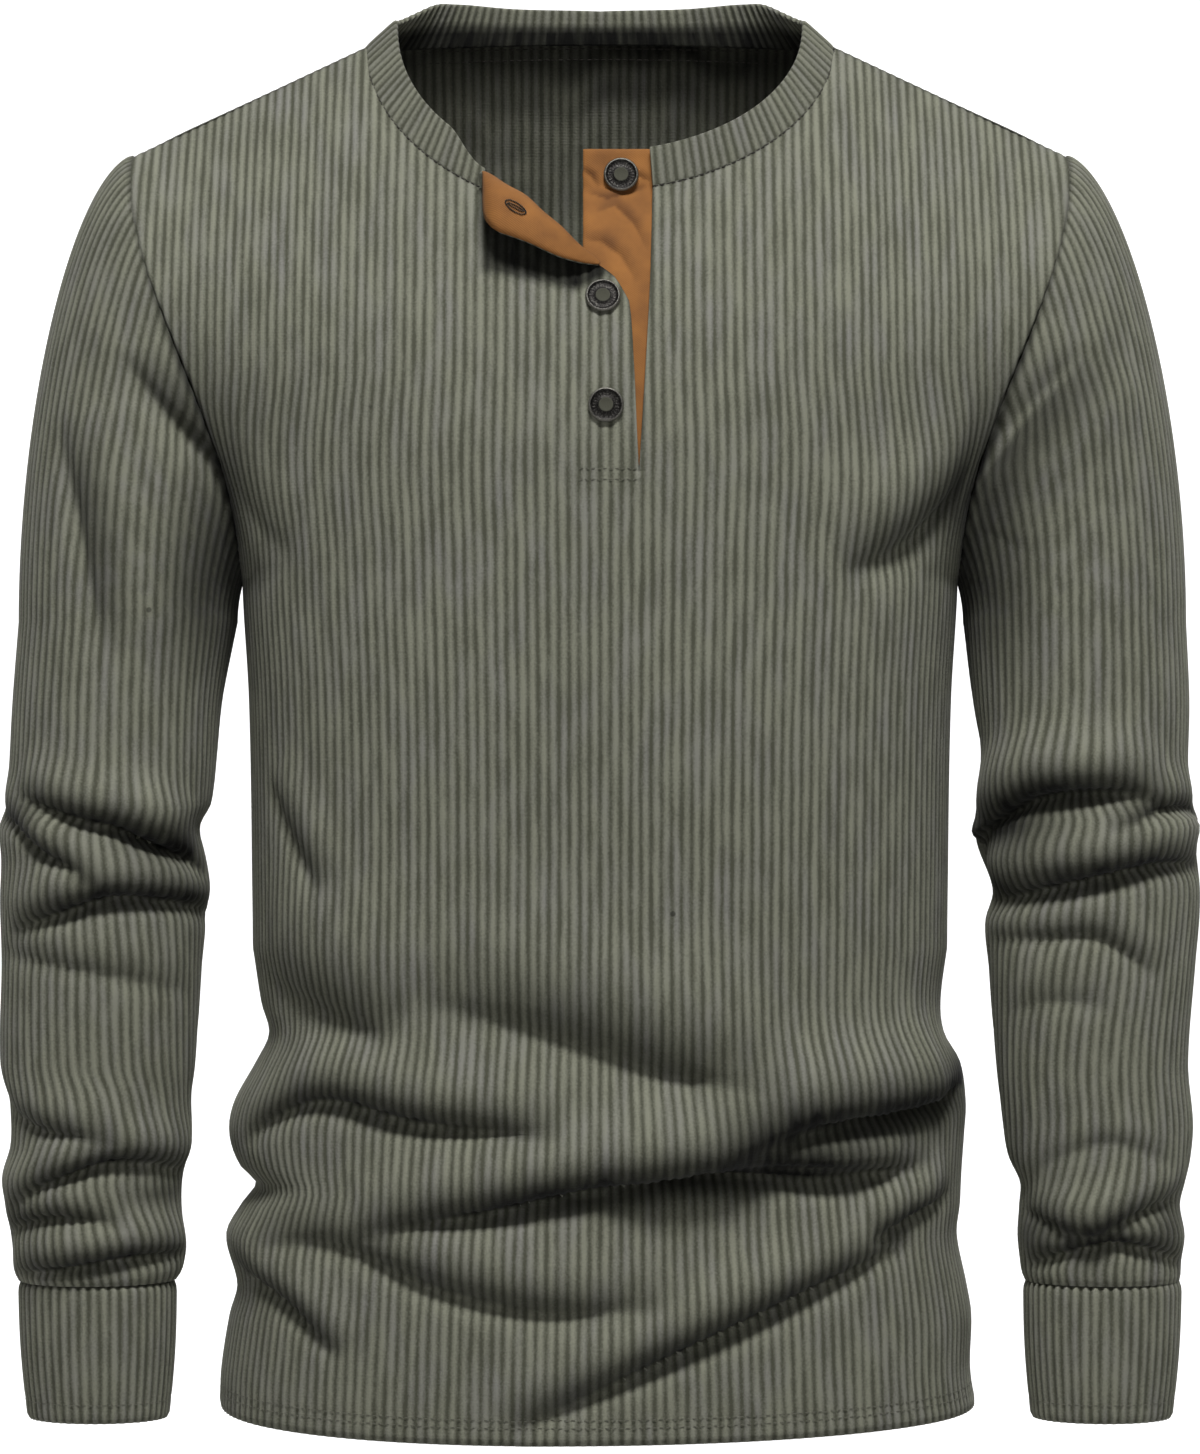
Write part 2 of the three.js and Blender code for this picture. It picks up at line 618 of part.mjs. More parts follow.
// A sleeve: from the armhole's ring, on curves that leave it sideways and arrive straight down, to level
// rings that follow the sleeve's edges seen from the front.
function sleeveRings(side, edges, folds, armhole) {
  const outerEdge = through(edges, "z", "outer");
  const innerEdge = through(edges, "z", "inner");
  const depthAt = through(SLEEVE_DEPTH, "z", "depth");
  const middleAt = through(SLEEVE_DEPTH, "z", "middle");
  const foldsAt = foldField(folds, SLEEVE_FOLD_RADIUS);
  const count = armhole.length;
  const levelPoint = (turn, z) => {
    const middle = (outerEdge(z) + innerEdge(z)) / 2;
    const half = (outerEdge(z) - innerEdge(z)) / 2;
    const x = side * (middle + half * Math.cos(turn));
    return new THREE.Vector3(x, middleAt(z) - depthAt(z) * Math.sin(turn), z);
  };
  const folded = (point, turn) => {
    const fromFront = Math.atan2(side * Math.cos(turn), Math.sin(turn));
    const angle = fromFront < -Math.PI / 2 ? fromFront + 2 * Math.PI : fromFront;
    const out = new THREE.Vector3(side * Math.cos(turn), -Math.sin(turn), 0);
    return point.addScaledVector(out, foldsAt(angle, point.z));
  };
  const rings = [];
  for (let row = 0; row < SLEEVE_CAP_ROWS; row += 1) {
    const t = (row / SLEEVE_CAP_ROWS) ** 1.15;
    rings.push(armhole.map((edge, i) => {
      const turn = (2 * Math.PI * i) / count;
      const start = edge.clone();
      start.x += side * SEAM_GAP * 1.4;
      const end = levelPoint(turn, SLEEVE_START);
      const span = start.distanceTo(end);
      const droop = THREE.MathUtils.degToRad(mix(20, 70, (1 - Math.cos(turn)) / 2));
      const leave = start.clone();
      leave.x += side * Math.cos(droop) * span * 0.13;
      leave.z -= Math.sin(droop) * span * 0.13;
      const arrive = end.clone();
      arrive.z += span * 0.46;
      const point = new THREE.CubicBezierCurve3(start, leave, arrive, end).getPoint(t);
      return row === 0 ? point : folded(point, turn);
    }));
  }
  for (let row = 0; row <= SLEEVE_LOWER_ROWS; row += 1) {
    const z = mix(SLEEVE_START, CUFF_TOP + SEAM_GAP / 2, row / SLEEVE_LOWER_ROWS);
    rings.push(armhole.map((_, i) => {
      const turn = (2 * Math.PI * i) / count;
      const point = levelPoint(turn, z);
      return row === SLEEVE_LOWER_ROWS ? point : folded(point, turn);
    }));
  }
  return rings;
}

// Rings run round with the front first, so seen from outside they go one way on the wearer's right and
// the other way on the left.
function tubeWall(rings, side, thickness, steer) {
  const ordered = side < 0 ? rings.map((ring) => [...ring].reverse()) : rings;
  const points = ordered.flat();
  return clothWall(points, gridFaces(rings[0].length, rings.length - 1, true), thickness, steer(points));
}

function makeSleeve(side, edges, folds) {
  const edge = side < 0 ? 0 : -1;
  const armhole = armholeRing(frontColumns.at(edge), backColumns.at(edge));
  const rings = sleeveRings(side, edges, folds, armhole);
  const ringSize = armhole.length;
  const lastRing = ringSize * (rings.length - 1);
  return tubeWall(rings, side, CLOTH, () => (i, inward) => {
    if (i < ringSize && inward.x * side < 0) inward.x = 0;
    if (i >= lastRing) inward.z = 0;
    return inward;
  });
}

// Cuffs: a ribbed band below the sleeve, two points for each rib.
function makeCuff(side) {
  const round = 2 * Math.PI * Math.sqrt(((CUFF_EDGES.top.outer - CUFF_EDGES.top.inner) / 2) * CUFF_DEPTH.top);
  const count = 2 * Math.round(round / RIB_PITCH);
  const ring = ({ outer, inner }, depth, z) =>
    Array.from({ length: count }, (_, i) => {
      const turn = (2 * Math.PI * i) / count;
      const rib = i % 2 === 0 ? RIB_RISE / 2 : -RIB_RISE / 2;
      const x = side * ((outer + inner) / 2 + ((outer - inner) / 2 + rib) * Math.cos(turn));
      return new THREE.Vector3(x, CUFF_MIDDLE - (depth + rib) * Math.sin(turn), z);
    });
  const rings = [
    ring(CUFF_EDGES.top, CUFF_DEPTH.top, CUFF_TOP - SEAM_GAP / 2),
    ring(CUFF_EDGES.end, CUFF_DEPTH.end, CUFF_END),
  ];
  return tubeWall(rings, side, DOUBLE_CLOTH, (points) => (i, inward) => {
    const middle = side * (CUFF_EDGES.top.outer + CUFF_EDGES.top.inner) * 0.5;
    return inward.set(middle - points[i].x, CUFF_MIDDLE - points[i].y, 0);
  });
}

// Neckband: it stands on the neck edges of the front and back, from the overlap's turned corner round the
// back to the placket, with two points for each rib.
function neckSeam() {
  const inNeck = (column) => Math.abs(column.at(-1).x) <= NECK_SIDE + 0.5;
  const tops = (columns) => columns.filter(inNeck).map((column) => column.at(-1));
  const front = tops(frontColumns);
  const right = front.filter((point) => point.x < LAPEL_EDGE[0].x + 1).reverse();
  const left = [...front.filter((point) => point.x > UNDER_EDGE.at(-1).x + 1).reverse(), underColumn.at(-1)];
  return [...right, ...tops(backColumns).slice(1, -1), ...left];
}

function makeNeckband() {
  const seam = neckSeam();
  const lengths = [0];
  for (let i = 1; i < seam.length; i += 1) lengths.push(lengths[i - 1] + seam[i].distanceTo(seam[i - 1]));
  const total = lengths.at(-1);
  const count = 2 * Math.round(total / RIB_PITCH);
  const stations = Array.from({ length: count + 1 }, (_, i) => {
    const place = (total * i) / count;
    let k = 1;
    while (k < seam.length - 1 && lengths[k] < place) k += 1;
    const share = (place - lengths[k - 1]) / (lengths[k] - lengths[k - 1]);
    return { foot: seam[k - 1].clone().lerp(seam[k], share), place };
  });
  const bottom = [];
  const top = [];
  stations.forEach(({ foot, place }, i) => {
    const sideways = clamp(Math.abs(foot.x) / NECK_SIDE, 0, 1);
    const lean = THREE.MathUtils.degToRad(10 + 38 * sideways ** 3);
    const inward = new THREE.Vector3(-foot.x, -foot.y, 0).normalize();
    const up = inward.clone().multiplyScalar(Math.sin(lean));
    up.z = Math.cos(lean);
    const rib = i % 2 === 0 ? 0 : RIB_RISE;
    const base = foot.clone().addScaledVector(inward, RIB_RISE - rib);
    const width = mix(BAND_END_WIDTH, BAND_WIDTH, smooth(place / 30));
    bottom.push(base.clone().addScaledVector(up, SEAM_GAP).add(new THREE.Vector3(0, 0, SEAM_GAP * 0.4)));
    top.push(base.clone().addScaledVector(up, width));
  });
  const points = [...bottom, ...top];
  const wide = bottom.length;
  return clothWall(points, gridFaces(wide - 1, 1).map((face) => [...face].reverse()), DOUBLE_CLOTH, (i, inward) => {
    const { x, y } = points[i];
    inward.set(-x, -y, 0).normalize();
    if (i >= wide) inward.z = -0.15;
    return inward;
  });
}

// Placket: the stand that carries the top button, under the slit, and the facing of the turned corner.

const NECK_FRONT = neckline(20, "front");

// Depth of the front's outer face at the middle, carried on up past the neck edge along the band.
function standDepth(x, z) {
  const seamDepth = smoothDepth(x, Math.min(z, NECK_FRONT), "front");
  return seamDepth - Math.max(z - NECK_FRONT, 0) * Math.tan(THREE.MathUtils.degToRad(10));
}

function standPoint(x, z) {
  const behind = CLOTH + SEAM_GAP + 1.1 + 2.4 * smooth((z - NECK_FRONT + 20) / 18);
  return new THREE.Vector3(x, -standDepth(x, z) + behind, z);
}

function makeStand() {
  const columns = 4;
  const rows = 12;
  const points = [];
  for (let row = 0; row <= rows; row += 1) {
    const z = mix(SLIT_END + 3, STAND_TOP, row / rows);
    const far = underEdge(z) + STAND_TUCK;
    for (let column = 0; column <= columns; column += 1) {
      points.push(standPoint(mix(STAND_LEFT, far, column / columns), z));
    }
  }
  return clothWall(points, gridFaces(columns, rows), CLOTH);
}

function makeFacing() {
  const columns = 5;
  const rows = 10;
  const lastShare = 0.93;
  const points = [];
  for (let row = 0; row <= rows; row += 1) {
    const share = (row / rows) * lastShare;
    const x = mix(LAPEL_EDGE[0].x + 0.6, LAPEL_EDGE[3].x, share);
    const root = bodyPoint(x, lapelEdge(x), "front").add(new THREE.Vector3(0, -0.5, 0.9));
    const size = (1 - share) ** 0.85;
    const reach = (sideways, forward, up) => root.clone().add(new THREE.Vector3(sideways, -forward, up)
      .multiplyScalar(size));
    const curve = new THREE.CubicBezierCurve3(root, reach(0, 6, 5), reach(1, 18, 1), reach(2, 22, -18));
    for (let column = 0; column <= columns; column += 1) points.push(curve.getPoint(column / columns));
  }
  return clothWall(points, gridFaces(columns, rows), CLOTH);
}

// Buttons: a dished disc with a raised rim and a low middle.
function makeButton({ name, x, z, onStand }) {
  const profile = [
    [0, 0],
    [BUTTON_RADIUS - 1.2, 0],
    [BUTTON_RADIUS, 0.9],
    [BUTTON_RADIUS - 0.5, 2.3],
    [BUTTON_RADIUS - 1.6, 2.4],
    [BUTTON_RADIUS - 2.6, 1.7],
    [3.4, 1.7],
    [2.8, 2.2],
    [0, 2.2],
  ];
  const geometry = new THREE.LatheGeometry(profile.map(([r, h]) => new THREE.Vector2(r, h)), BUTTON_SIDES);
  const at = (px, pz) => (onStand ? standPoint(px, pz) : bodyPoint(px, pz, "front"));
  const right = at(x + BUTTON_RADIUS, z).sub(at(x - BUTTON_RADIUS, z));
  const up = at(x, z + BUTTON_RADIUS).sub(at(x, z - BUTTON_RADIUS));
  const out = right.cross(up).normalize();
  const middle = at(x, z);
  let seat = 0;
  for (let i = 0; i < BUTTON_SIDES * 3; i += 1) {
    const turn = (2 * Math.PI * i) / BUTTON_SIDES;
    const reach = BUTTON_RADIUS * (1 - Math.floor(i / BUTTON_SIDES) * 0.3);
    const under = at(x + reach * Math.cos(turn), z + reach * Math.sin(turn));
    seat = Math.max(seat, under.sub(middle).dot(out));
  }
  const mesh = new THREE.Mesh(geometry, metalMaterial);
  mesh.name = name;
  mesh.quaternion.setFromUnitVectors(new THREE.Vector3(0, 1, 0), out);
  const gap = onStand ? SEAM_GAP + STAND_HOLLOW : SEAM_GAP;
  mesh.position.copy(middle).addScaledVector(out, seat + gap);
  return mesh;
}

// Materials and the whole shirt

const knitMaterial = new THREE.MeshStandardMaterial({ color: COLOUR.knit, roughness: 0.92, metalness: 0 });
const facingMaterial = new THREE.MeshStandardMaterial({ color: COLOUR.facing, roughness: 0.9, metalness: 0 });
const metalMaterial = new THREE.MeshStandardMaterial({ color: COLOUR.metal, roughness: 0.45, metalness: 0.9 });

const shirt = new THREE.Group();

function addPiece(name, geometry, material) {
  const mesh = new THREE.Mesh(geometry, material);
  mesh.name = name;
  shirt.add(mesh);
}

addPiece("front", makeFront(), knitMaterial);
addPiece("back", makeBack(), knitMaterial);
addPiece("sleeve_right", makeSleeve(-1, SLEEVE_RIGHT, RIGHT_SLEEVE_FOLDS), knitMaterial);
addPiece("sleeve_left", makeSleeve(1, SLEEVE_LEFT, LEFT_SLEEVE_FOLDS), knitMaterial);
addPiece("cuff_right", makeCuff(-1), knitMaterial);
addPiece("cuff_left", makeCuff(1), knitMaterial);
addPiece("neckband", makeNeckband(), knitMaterial);
addPiece("placket_stand", makeStand(), facingMaterial);
addPiece("placket_facing", makeFacing(), facingMaterial);
for (const button of BUTTONS) shirt.add(makeButton(button));

export default shirt;
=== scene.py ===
"""Henley shirt of ribbed knit, filled out as if worn: its looks.

Sizes are in millimetres and become metres where a mesh is made. +Z is up, the front faces -Y and the
wearer's left side is on +X. The body, sleeves, cuffs, neckband and placket are numpy surfaces on the
same sizes as the solids, with their ribs, seams and stitches added.
"""

import math

import bpy
import numpy as np
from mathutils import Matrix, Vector


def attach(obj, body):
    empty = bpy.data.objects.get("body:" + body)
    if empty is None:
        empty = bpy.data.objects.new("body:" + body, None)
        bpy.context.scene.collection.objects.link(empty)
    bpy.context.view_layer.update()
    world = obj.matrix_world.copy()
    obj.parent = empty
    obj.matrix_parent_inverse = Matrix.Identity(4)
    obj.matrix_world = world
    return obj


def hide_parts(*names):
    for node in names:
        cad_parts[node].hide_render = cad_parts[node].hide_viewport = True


bl_info = {
    "name": "Ribbed henley shirt",
    "version": (1, 0, 0),
    "blender": (4, 5, 0),
    "location": "View3D > Sidebar > Shirt",
    "description": "Builds a henley shirt of ribbed knit, piece by piece",
    "category": "Add Mesh",
}

MM = 0.001

# Cloth and making up
CLOTH = 1.8
DOUBLE_CLOTH = 2.8
SEAM_GAP = 0.3
RIB_PITCH = 5.05
SLEEVE_RIB_PITCH = 5.3

# Levels and half widths of the body
NECK_LEVEL = 2.6
SHOULDER_TIP_LEVEL = -55
UNDERARM = -277
HEM = -708
CUFF_TOP = -644
CUFF_END = -715.5
SHOULDER_TIP = 244.7
NECK_SIDE = SHOULDER_TIP / 2
UNDERARM_SIDE = 187
ARMHOLE = {"front": 62, "back": 70}
SECTION_CURVE = 2.4
CAP_HEIGHT = {"front": 230, "back": 200}
ARCH_RISE = {"front": 0, "back": 45}
ARCH_DROP = 120

# Neck opening and its band
NECK_DROP_RIGHT = 94
NECK_DROP_LEFT = 82
NECK_CURVE = 1.9
NECK_BACK_RISE = 8
NECK_BACK_REACH = 60
BAND_WIDTH = 20.5
BAND_END_WIDTH = 10

# How much wider the band is at the back, by how far it lies to the side
BAND_TOP = {"sideways": (0, 0.4, 0.7, 0.82, 0.92, 1), "more": (-3, -1, 4, 6, 3.5, 0)}

# Placket
SLIT_ACROSS = 1 / 16
SLIT_END = -226
STAND_TOP = -57.5
STAND_LEFT = -8.7
STAND_TUCK = 9
LAPEL_START = -1 / 4
BUTTON_RADIUS = 9

# Net sizes: ribs across each piece, columns to a rib, and rows below and above the underarm
COLUMNS_PER_RIB = 4
FRONT_RIBS = {"overlap": 50, "under": 44}
BACK_RIBS = 94
FRONT_ROWS = (112, 70)
BACK_ROWS = (96, 56)
SLEEVE_COLUMNS = 416
SLEEVE_ROWS = (48, 104)
CUFF_RIBS = 47
CUFF_COLUMNS_PER_RIB = 6
CUFF_ROWS = 26
BAND_COLUMNS_PER_RIB = 6
LAPEL_NET = (66, 21)
HALVINGS = 40

# Body: its section's depth to its half width, cloth to each unit of half width by the sides, how far out the
# upper ribs hang straight and how they spread beyond that, and where the columns draw near to the slit
SECTION_DEPTH = 0.62
SIDE_STRETCH = 1.3
STRAIGHT_TO = 150
RIB_SPREAD = 1.1
SLIT_REACH = 0.3
SLIT_FADE = 80
HEM_SAG = {"front": 10, "back": 5}
HEM_TILT = {"front": -3, "back": 0}
FOLD_TOP = UNDERARM + 60
FOLD_FADE = 80

# Sleeve: its first level ring, the curves from the armhole to it, and the radius that its ribs go by
SLEEVE_START = -300
SLEEVE_DROOP = (20, 70)
SLEEVE_LEAVE = 0.13
SLEEVE_ARRIVE = 0.46
CAP_SPACING = 1.15
SLEEVE_RADIUS = 50
SLEEVE_RIB_RADII = (41, 58.5)

# Neckband: how far its foot lies below the seam, its lean in degrees, and its squared section
BAND_FOOT = -0.8
BAND_LEAN = (10, 38)
BAND_SQUARENESS = 0.35
BAND_LEVELS = (-1, -0.98, -0.93, -0.83, -0.6, -0.3, 0, 0.3, 0.6, 0.83, 0.93, 0.98, 1)

# Placket: the stand's lean and its place behind the front, and the turned-back corner
STAND_LEAN = math.tan(math.radians(10))
STAND_NECK = 20
STAND_BEHIND = 1.1
LAPEL_END = 0.985
LAPEL_LENGTH = 80
LAPEL_ROUNDING = 10
LAPEL_CURVE = ((0, 0, 0), (0, -9, 6), (0, -25, 2), (0, -30, -24))
LAPEL_PERK = (0, 9, 5, 1)
LAPEL_LAYERS = {"facing": 0.8, "cloth": 1.1}

# A button's outline, radius and height, and the notches of its ring
BUTTON_PROFILE = (
    (0, 0), (BUTTON_RADIUS - 1.4, 0), (BUTTON_RADIUS - 0.4, 0.35), (BUTTON_RADIUS, 1.1),
    (BUTTON_RADIUS - 0.15, 1.9), (BUTTON_RADIUS - 0.7, 2.35), (BUTTON_RADIUS - 1.3, 2.3),
    (BUTTON_RADIUS - 1.8, 1.85), (BUTTON_RADIUS - 2.4, 1.7), (4.4, 1.75), (3.9, 2.0), (3.5, 2.15),
    (2.9, 2.1), (2.5, 1.95), (0, 1.95),
)
BUTTON_RING = (4.4, BUTTON_RADIUS - 1.9)
BUTTON_COLUMNS = 96
NOTCHES = 24
NOTCH_DEPTH = 0.16

# Stitches: how high their lines lie, how wide each presses the cloth, and how dark the painted shade along
# the seams and at the underarm is
HEM_STITCHES = (9, 13)
CUFF_STITCH = 10
SLIT_STITCHES = (-4, 1.5)
NECK_STITCHES = (2.5, 8)
STITCH_REACH = 1.1
SEAM_SHADE = 0.5
UNDERARM_SHADE = 0.75

# The buttonhole on a fine net of the turned-back corner: the net, the middle, and each ring's two radii
BUTTONHOLE_NET = (651, 201)
BUTTONHOLE = (190, 150)
BUTTONHOLE_RINGS = ((56, 11), (44, 3))


def table(columns, *rows):
    """A table with named columns: an array for each of them."""
    return dict(zip(columns.split(), np.array(rows, float).T))


# The body, a row for each level: its half width, and how far the front and back reach
BODY = table(
    "z half front back",
    (-712, 196, 117, 110),
    (-620, 190, 116, 108),
    (-560, 187, 114, 104),
    (-500, 182, 113, 100),
    (-425, 182, 116, 101),
    (-341, 183.5, 119, 105),
    (UNDERARM, UNDERARM_SIDE, 118, 108),
    (-160, UNDERARM_SIDE, 117, 112),
    (80, UNDERARM_SIDE, 117, 112),
)

# How far the folded sides stand out from those half widths
SIDES = table(
    "z right left",
    (-712, 3, 1),
    (-690, 3.5, -1),
    (-662, 1, 1.5),
    (-646, -2, 0),
    (-620, 5.5, -3.5),
    (-604, -2, -1),
    (-593, -9, 0),
    (-583, 0.5, 1),
    (-567, 6.5, 3),
    (-551, 5, 5),
    (-530, -4.5, 4),
    (-515, -10, -3),
    (-499, -5, -4),
    (-470, 0, 0),
)

# The sleeves' outer and inner edges seen from the front
SLEEVE_RIGHT = table(
    "z outer inner",
    (-644, 304.5, 220.5),
    (-636, 306, 218),
    (-625, 306.5, 216.5),
    (-606, 309.5, 219),
    (-590, 312, 218.5),
    (-572, 307.5, 214),
    (-548, 308.5, 214),
    (-530, 313, 212),
    (-478, 312.5, 208.5),
    (-446, 313.5, 206),
    (-425, 313, 207),
    (-407, 314, 210),
    (-394, 310.5, 204),
    (-341, 307.5, 198.5),
    (-300, 304.5, 190.6),
)
SLEEVE_LEFT = table(
    "z outer inner",
    (-644, 303.5, 221),
    (-635, 303, 220),
    (-620, 305, 218.5),
    (-604, 302.5, 219.5),
    (-593, 305, 220),
    (-580, 308, 214),
    (-562, 309.5, 211),
    (-530, 307, 207.5),
    (-478, 311, 203.5),
    (-457, 313, 202),
    (-440, 313.5, 206),
    (-415, 311.5, 197.5),
    (-404, 313.5, 198),
    (-392, 308, 204),
    (-341, 308.5, 196),
    (-300, 307, 191),
)
SLEEVE_DEPTH = table(
    "z depth middle",
    (-644, 40, -14),
    (-600, 44, -13),
    (-520, 50, -11),
    (-446, 54, -8),
    (-383, 58, -4),
    (-300, 61, 0),
)
CUFF_RINGS = {"top": (303.5, 221.5, 38.5), "end": (298.5, 225.5, 34)}
CUFF_MIDDLE = -14

# Folds: depth, spread, and a path of angles round the cloth in degrees and heights
BODY_FOLDS = [
    (4.5, 11, [(-74, -566), (-51, -541), (-29, -551), (-5, -559)]),
    (8.5, 13, [(18, -562), (32, -551), (54, -545), (80, -537), (102, -527)]),
    (5, 11, [(2, -584), (14, -572), (26, -567), (40, -570), (54, -577)]),
    (6.2, 11.5, [(-42, -606), (-22, -598), (-2, -584), (17, -576), (39, -579), (64, -575)]),
    (2.8, 12, [(-68, -618), (-45, -614), (-25, -635), (-6, -647), (14, -641)]),
    (3, 8, [(-80, -628), (-58, -645), (-42, -674)]),
    (4.4, 10, [(-14, -708), (11, -668), (34, -636), (58, -612)]),
    (4, 8, [(46, -611), (57, -602), (74, -592)]),
    (3.6, 24, [(-74, -476), (-48, -494), (-34, -510)]),
    (3.5, 22, [(-30, -486), (-7, -502), (17, -527), (32, -525)]),
    (2, 10, [(-68, -380), (-50, -438)]),
    (4, 18, [(40, -272), (54, -256), (66, -236), (78, -212)]),
    (0.8, 17, [(-78, -220), (-66, -246), (-54, -264)]),
    (6, 14, [(104, -548), (130, -556), (160, -548), (190, -556)]),
    (6.5, 15, [(118, -590), (150, -602), (185, -592), (222, -604), (250, -598)]),
    (5, 13, [(196, -560), (226, -546), (256, -558)]),
    (4.5, 14, [(112, -646), (142, -634), (176, -650), (206, -640)]),
    (4, 20, [(140, -486), (172, -505), (206, -492), (232, -500)]),
    (3.5, 16, [(104, -250), (120, -225), (134, -190)]),
    (3.5, 16, [(256, -250), (240, -225), (226, -190)]),
]
RIGHT_SLEEVE_FOLDS = [
    (4.2, 8.5, [(-60, -384), (-20, -396), (20, -404), (70, -418)]),
    (4.2, 8, [(8, -398), (40, -412), (84, -430)]),
    (3.8, 7, [(-90, -394), (-52, -403), (-26, -418), (4, -430)]),
    (5.4, 9, [(-60, -458), (-19, -446), (10, -438), (50, -441), (104, -450)]),
    (1.1, 9, [(-76, -466), (-10, -476), (70, -490)]),
    (2.5, 8, [(-84, -545), (-32, -560), (20, -563)]),
    (4, 8, [(-66, -602), (-18, -584), (20, -575), (90, -584)]),
    (2.5, 7, [(-84, -616), (-24, -605), (26, -609)]),
    (4, 7.5, [(-74, -637), (-19, -631), (30, -625), (90, -626)]),
    (3.5, 8, [(-4, -138), (32, -163), (58, -190), (84, -240)]),
    (3, 9, [(-16, -160), (12, -196), (40, -226), (70, -254)]),
    (2.5, 12, [(-40, -195), (-20, -245), (-2, -318)]),
    (4, 9, [(110, -430), (150, -412), (200, -422), (236, -408)]),
    (3.5, 9, [(120, -470), (165, -458), (210, -470)]),
    (3.5, 8, [(105, -588), (150, -602), (200, -590), (240, -600)]),
    (3, 8, [(120, -560), (170, -552), (230, -566)]),
]
LEFT_SLEEVE_FOLDS = [
    (3.5, 9, [(6, -134), (-31, -163), (-56, -186), (-84, -214)]),
    (3.5, 10, [(30, -160), (3, -190), (-18, -216), (-44, -252)]),
    (3.5, 8, [(-16, -200), (-47, -221), (-84, -242)]),
    (6.6, 11, [(-104, -416), (-54, -391), (-10, -383), (44, -386)]),
    (4, 15, [(-112, -420), (-76, -408), (-38, -402)]),
    (3.5, 7, [(4, -406), (37, -395), (66, -394), (96, -404)]),
    (6.2, 9.5, [(-84, -444), (-30, -433), (0, -427), (36, -421), (84, -423)]),
    (1.8, 8, [(-84, -462), (-36, -461), (-4, -459), (16, -469), (36, -482)]),
    (0.9, 10, [(-66, -500), (-24, -492), (10, -496)]),
    (0.7, 6, [(-60, -585), (-9, -568), (16, -569), (60, -584)]),
    (3.8, 8, [(-78, -602), (-20, -611), (12, -604), (70, -592)]),
    (4.2, 7.5, [(-72, -632), (-16, -620), (15, -618), (76, -631)]),
    (4, 9, [(110, -416), (150, -430), (200, -414), (240, -424)]),
    (3.5, 9, [(130, -462), (180, -452), (226, -466)]),
    (3.5, 8, [(105, -592), (150, -582), (200, -596), (240, -588)]),
    (3, 8, [(120, -552), (170, -562), (230, -550)]),
]
# The stand's folds go by places across and heights
STAND_FOLDS = [
    (0.9, 3, [(-8, -79), (4, -83), (14, -80), (24, -77)]),
    (1.1, 4, [(-2, -90), (8, -86), (18, -96), (26, -112)]),
    (0.9, 4, [(-9, -104), (2, -106), (12, -114), (20, -128)]),
    (0.7, 2.5, [(12, -66), (20, -71), (27, -74)]),
    (0.7, 2.5, [(-9, -67), (-4, -71), (0, -77)]),
]

# Hollows beside the folds, which the light doesn't reach: angle, height, reach of each, darkness
BODY_HOLLOWS = table(
    "angle z wide high dark",
    (64, -548, 26, 11, 0.85),
    (44, -555, 16, 7, 0.5),
    (17, -585, 13, 8, 0.55),
    (-4, -596, 14, 5, 0.4),
    (72, -240, 9, 18, 0.7),
)
RIGHT_SLEEVE_HOLLOWS = table(
    "angle z wide high dark",
    (48, -413, 28, 10, 0.85),
    (56, -440, 34, 6, 0.7),
    (-62, -398, 22, 6, 0.5),
    (-50, -608, 24, 6, 0.5),
    (56, -597, 26, 5, 0.5),
)
LEFT_SLEEVE_HOLLOWS = table(
    "angle z wide high dark",
    (-54, -405, 34, 13, 0.9),
    (-20, -388, 40, 5, 0.6),
    (-70, -436, 24, 7, 0.8),
    (30, -424, 40, 3.5, 0.5),
    (-58, -616, 30, 9, 0.6),
    (52, -612, 20, 8, 0.6),
)
SLEEVES = (
    ("right", -1, SLEEVE_RIGHT, RIGHT_SLEEVE_FOLDS, RIGHT_SLEEVE_HOLLOWS),
    ("left", 1, SLEEVE_LEFT, LEFT_SLEEVE_FOLDS, LEFT_SLEEVE_HOLLOWS),
)

# Fold shape: the cloth's radius where angles are taken, the bulge's and the trough's share of the spread
BODY_FOLD_RADIUS = 150
SLEEVE_FOLD_RADIUS = 52
FOLD_PATH_STEPS = 5
FOLD_MARGIN = 4
FOLD_LEAN = 0.5
SIDEWAYS_FOLD = 0.45
FOLD_ABOVE = 1.15
FOLD_BELOW = 0.5
BODY_FOLD_STRENGTH = 2.3
SLEEVE_FOLD_STRENGTH = 1.95

# Edges of the placket: the turned-back edge, the overlap's free edge and the front's own edge beyond it
LAPEL_EDGE = table("x z", (-61.2, -77.4), (-38, -88), (-17, -105), (1, -120.6), (8, -126.5), (14.7, -138))
LAPEL_SHADOW = table("x z", (-61, -126), (-38, -130), (-13, -136), (1, -130), (8, -125))
OVERLAP_EDGE = table("z x", (SLIT_END, 19.7), (-206, 18.7), (-171, 17.2), (-138, 14.7), (-120, 9))
UNDER_EDGE = table("z x", (SLIT_END, 19.7), (-206, 21), (-130, 25.4), (-70, 27.2))

# Colours, as display values from 0 to 255
RIB_COLOUR = (141, 142, 126)
RIB_GREY = (139, 138, 134)
GROOVE_COLOUR = (84, 85, 72)
# The near-black that painted shade goes towards (folds, hollows, seams, underarm, the neck's inside, the
# turned-back corner's shadow), which the dark specks share, and how far the painted shade goes
PAINTED_SHADE_AND_SPECK_COLOUR = (15, 15, 13)
PAINTED_SHADE_STRENGTH = 0.97
# The facing's cotton, and the darker colour that its cloudy tone and the painted shade in the stand's folds
# go towards
FACING_COLOUR = (172, 114, 52)
FACING_SHADE = (104, 64, 28)
METAL_COLOUR = (134, 132, 124)
METAL_DARK = (30, 28, 27)
BUTTON_MIDDLE = (72, 72, 60)
THREAD_COLOUR = (112, 112, 98)
NECK_THREAD_COLOUR = (46, 42, 34)

# Which way the rib coordinate's cosine turns: up on the crests or down on them
RIB_SIGN = {"knit_body": -1.0, "knit_sleeve": 1.0}

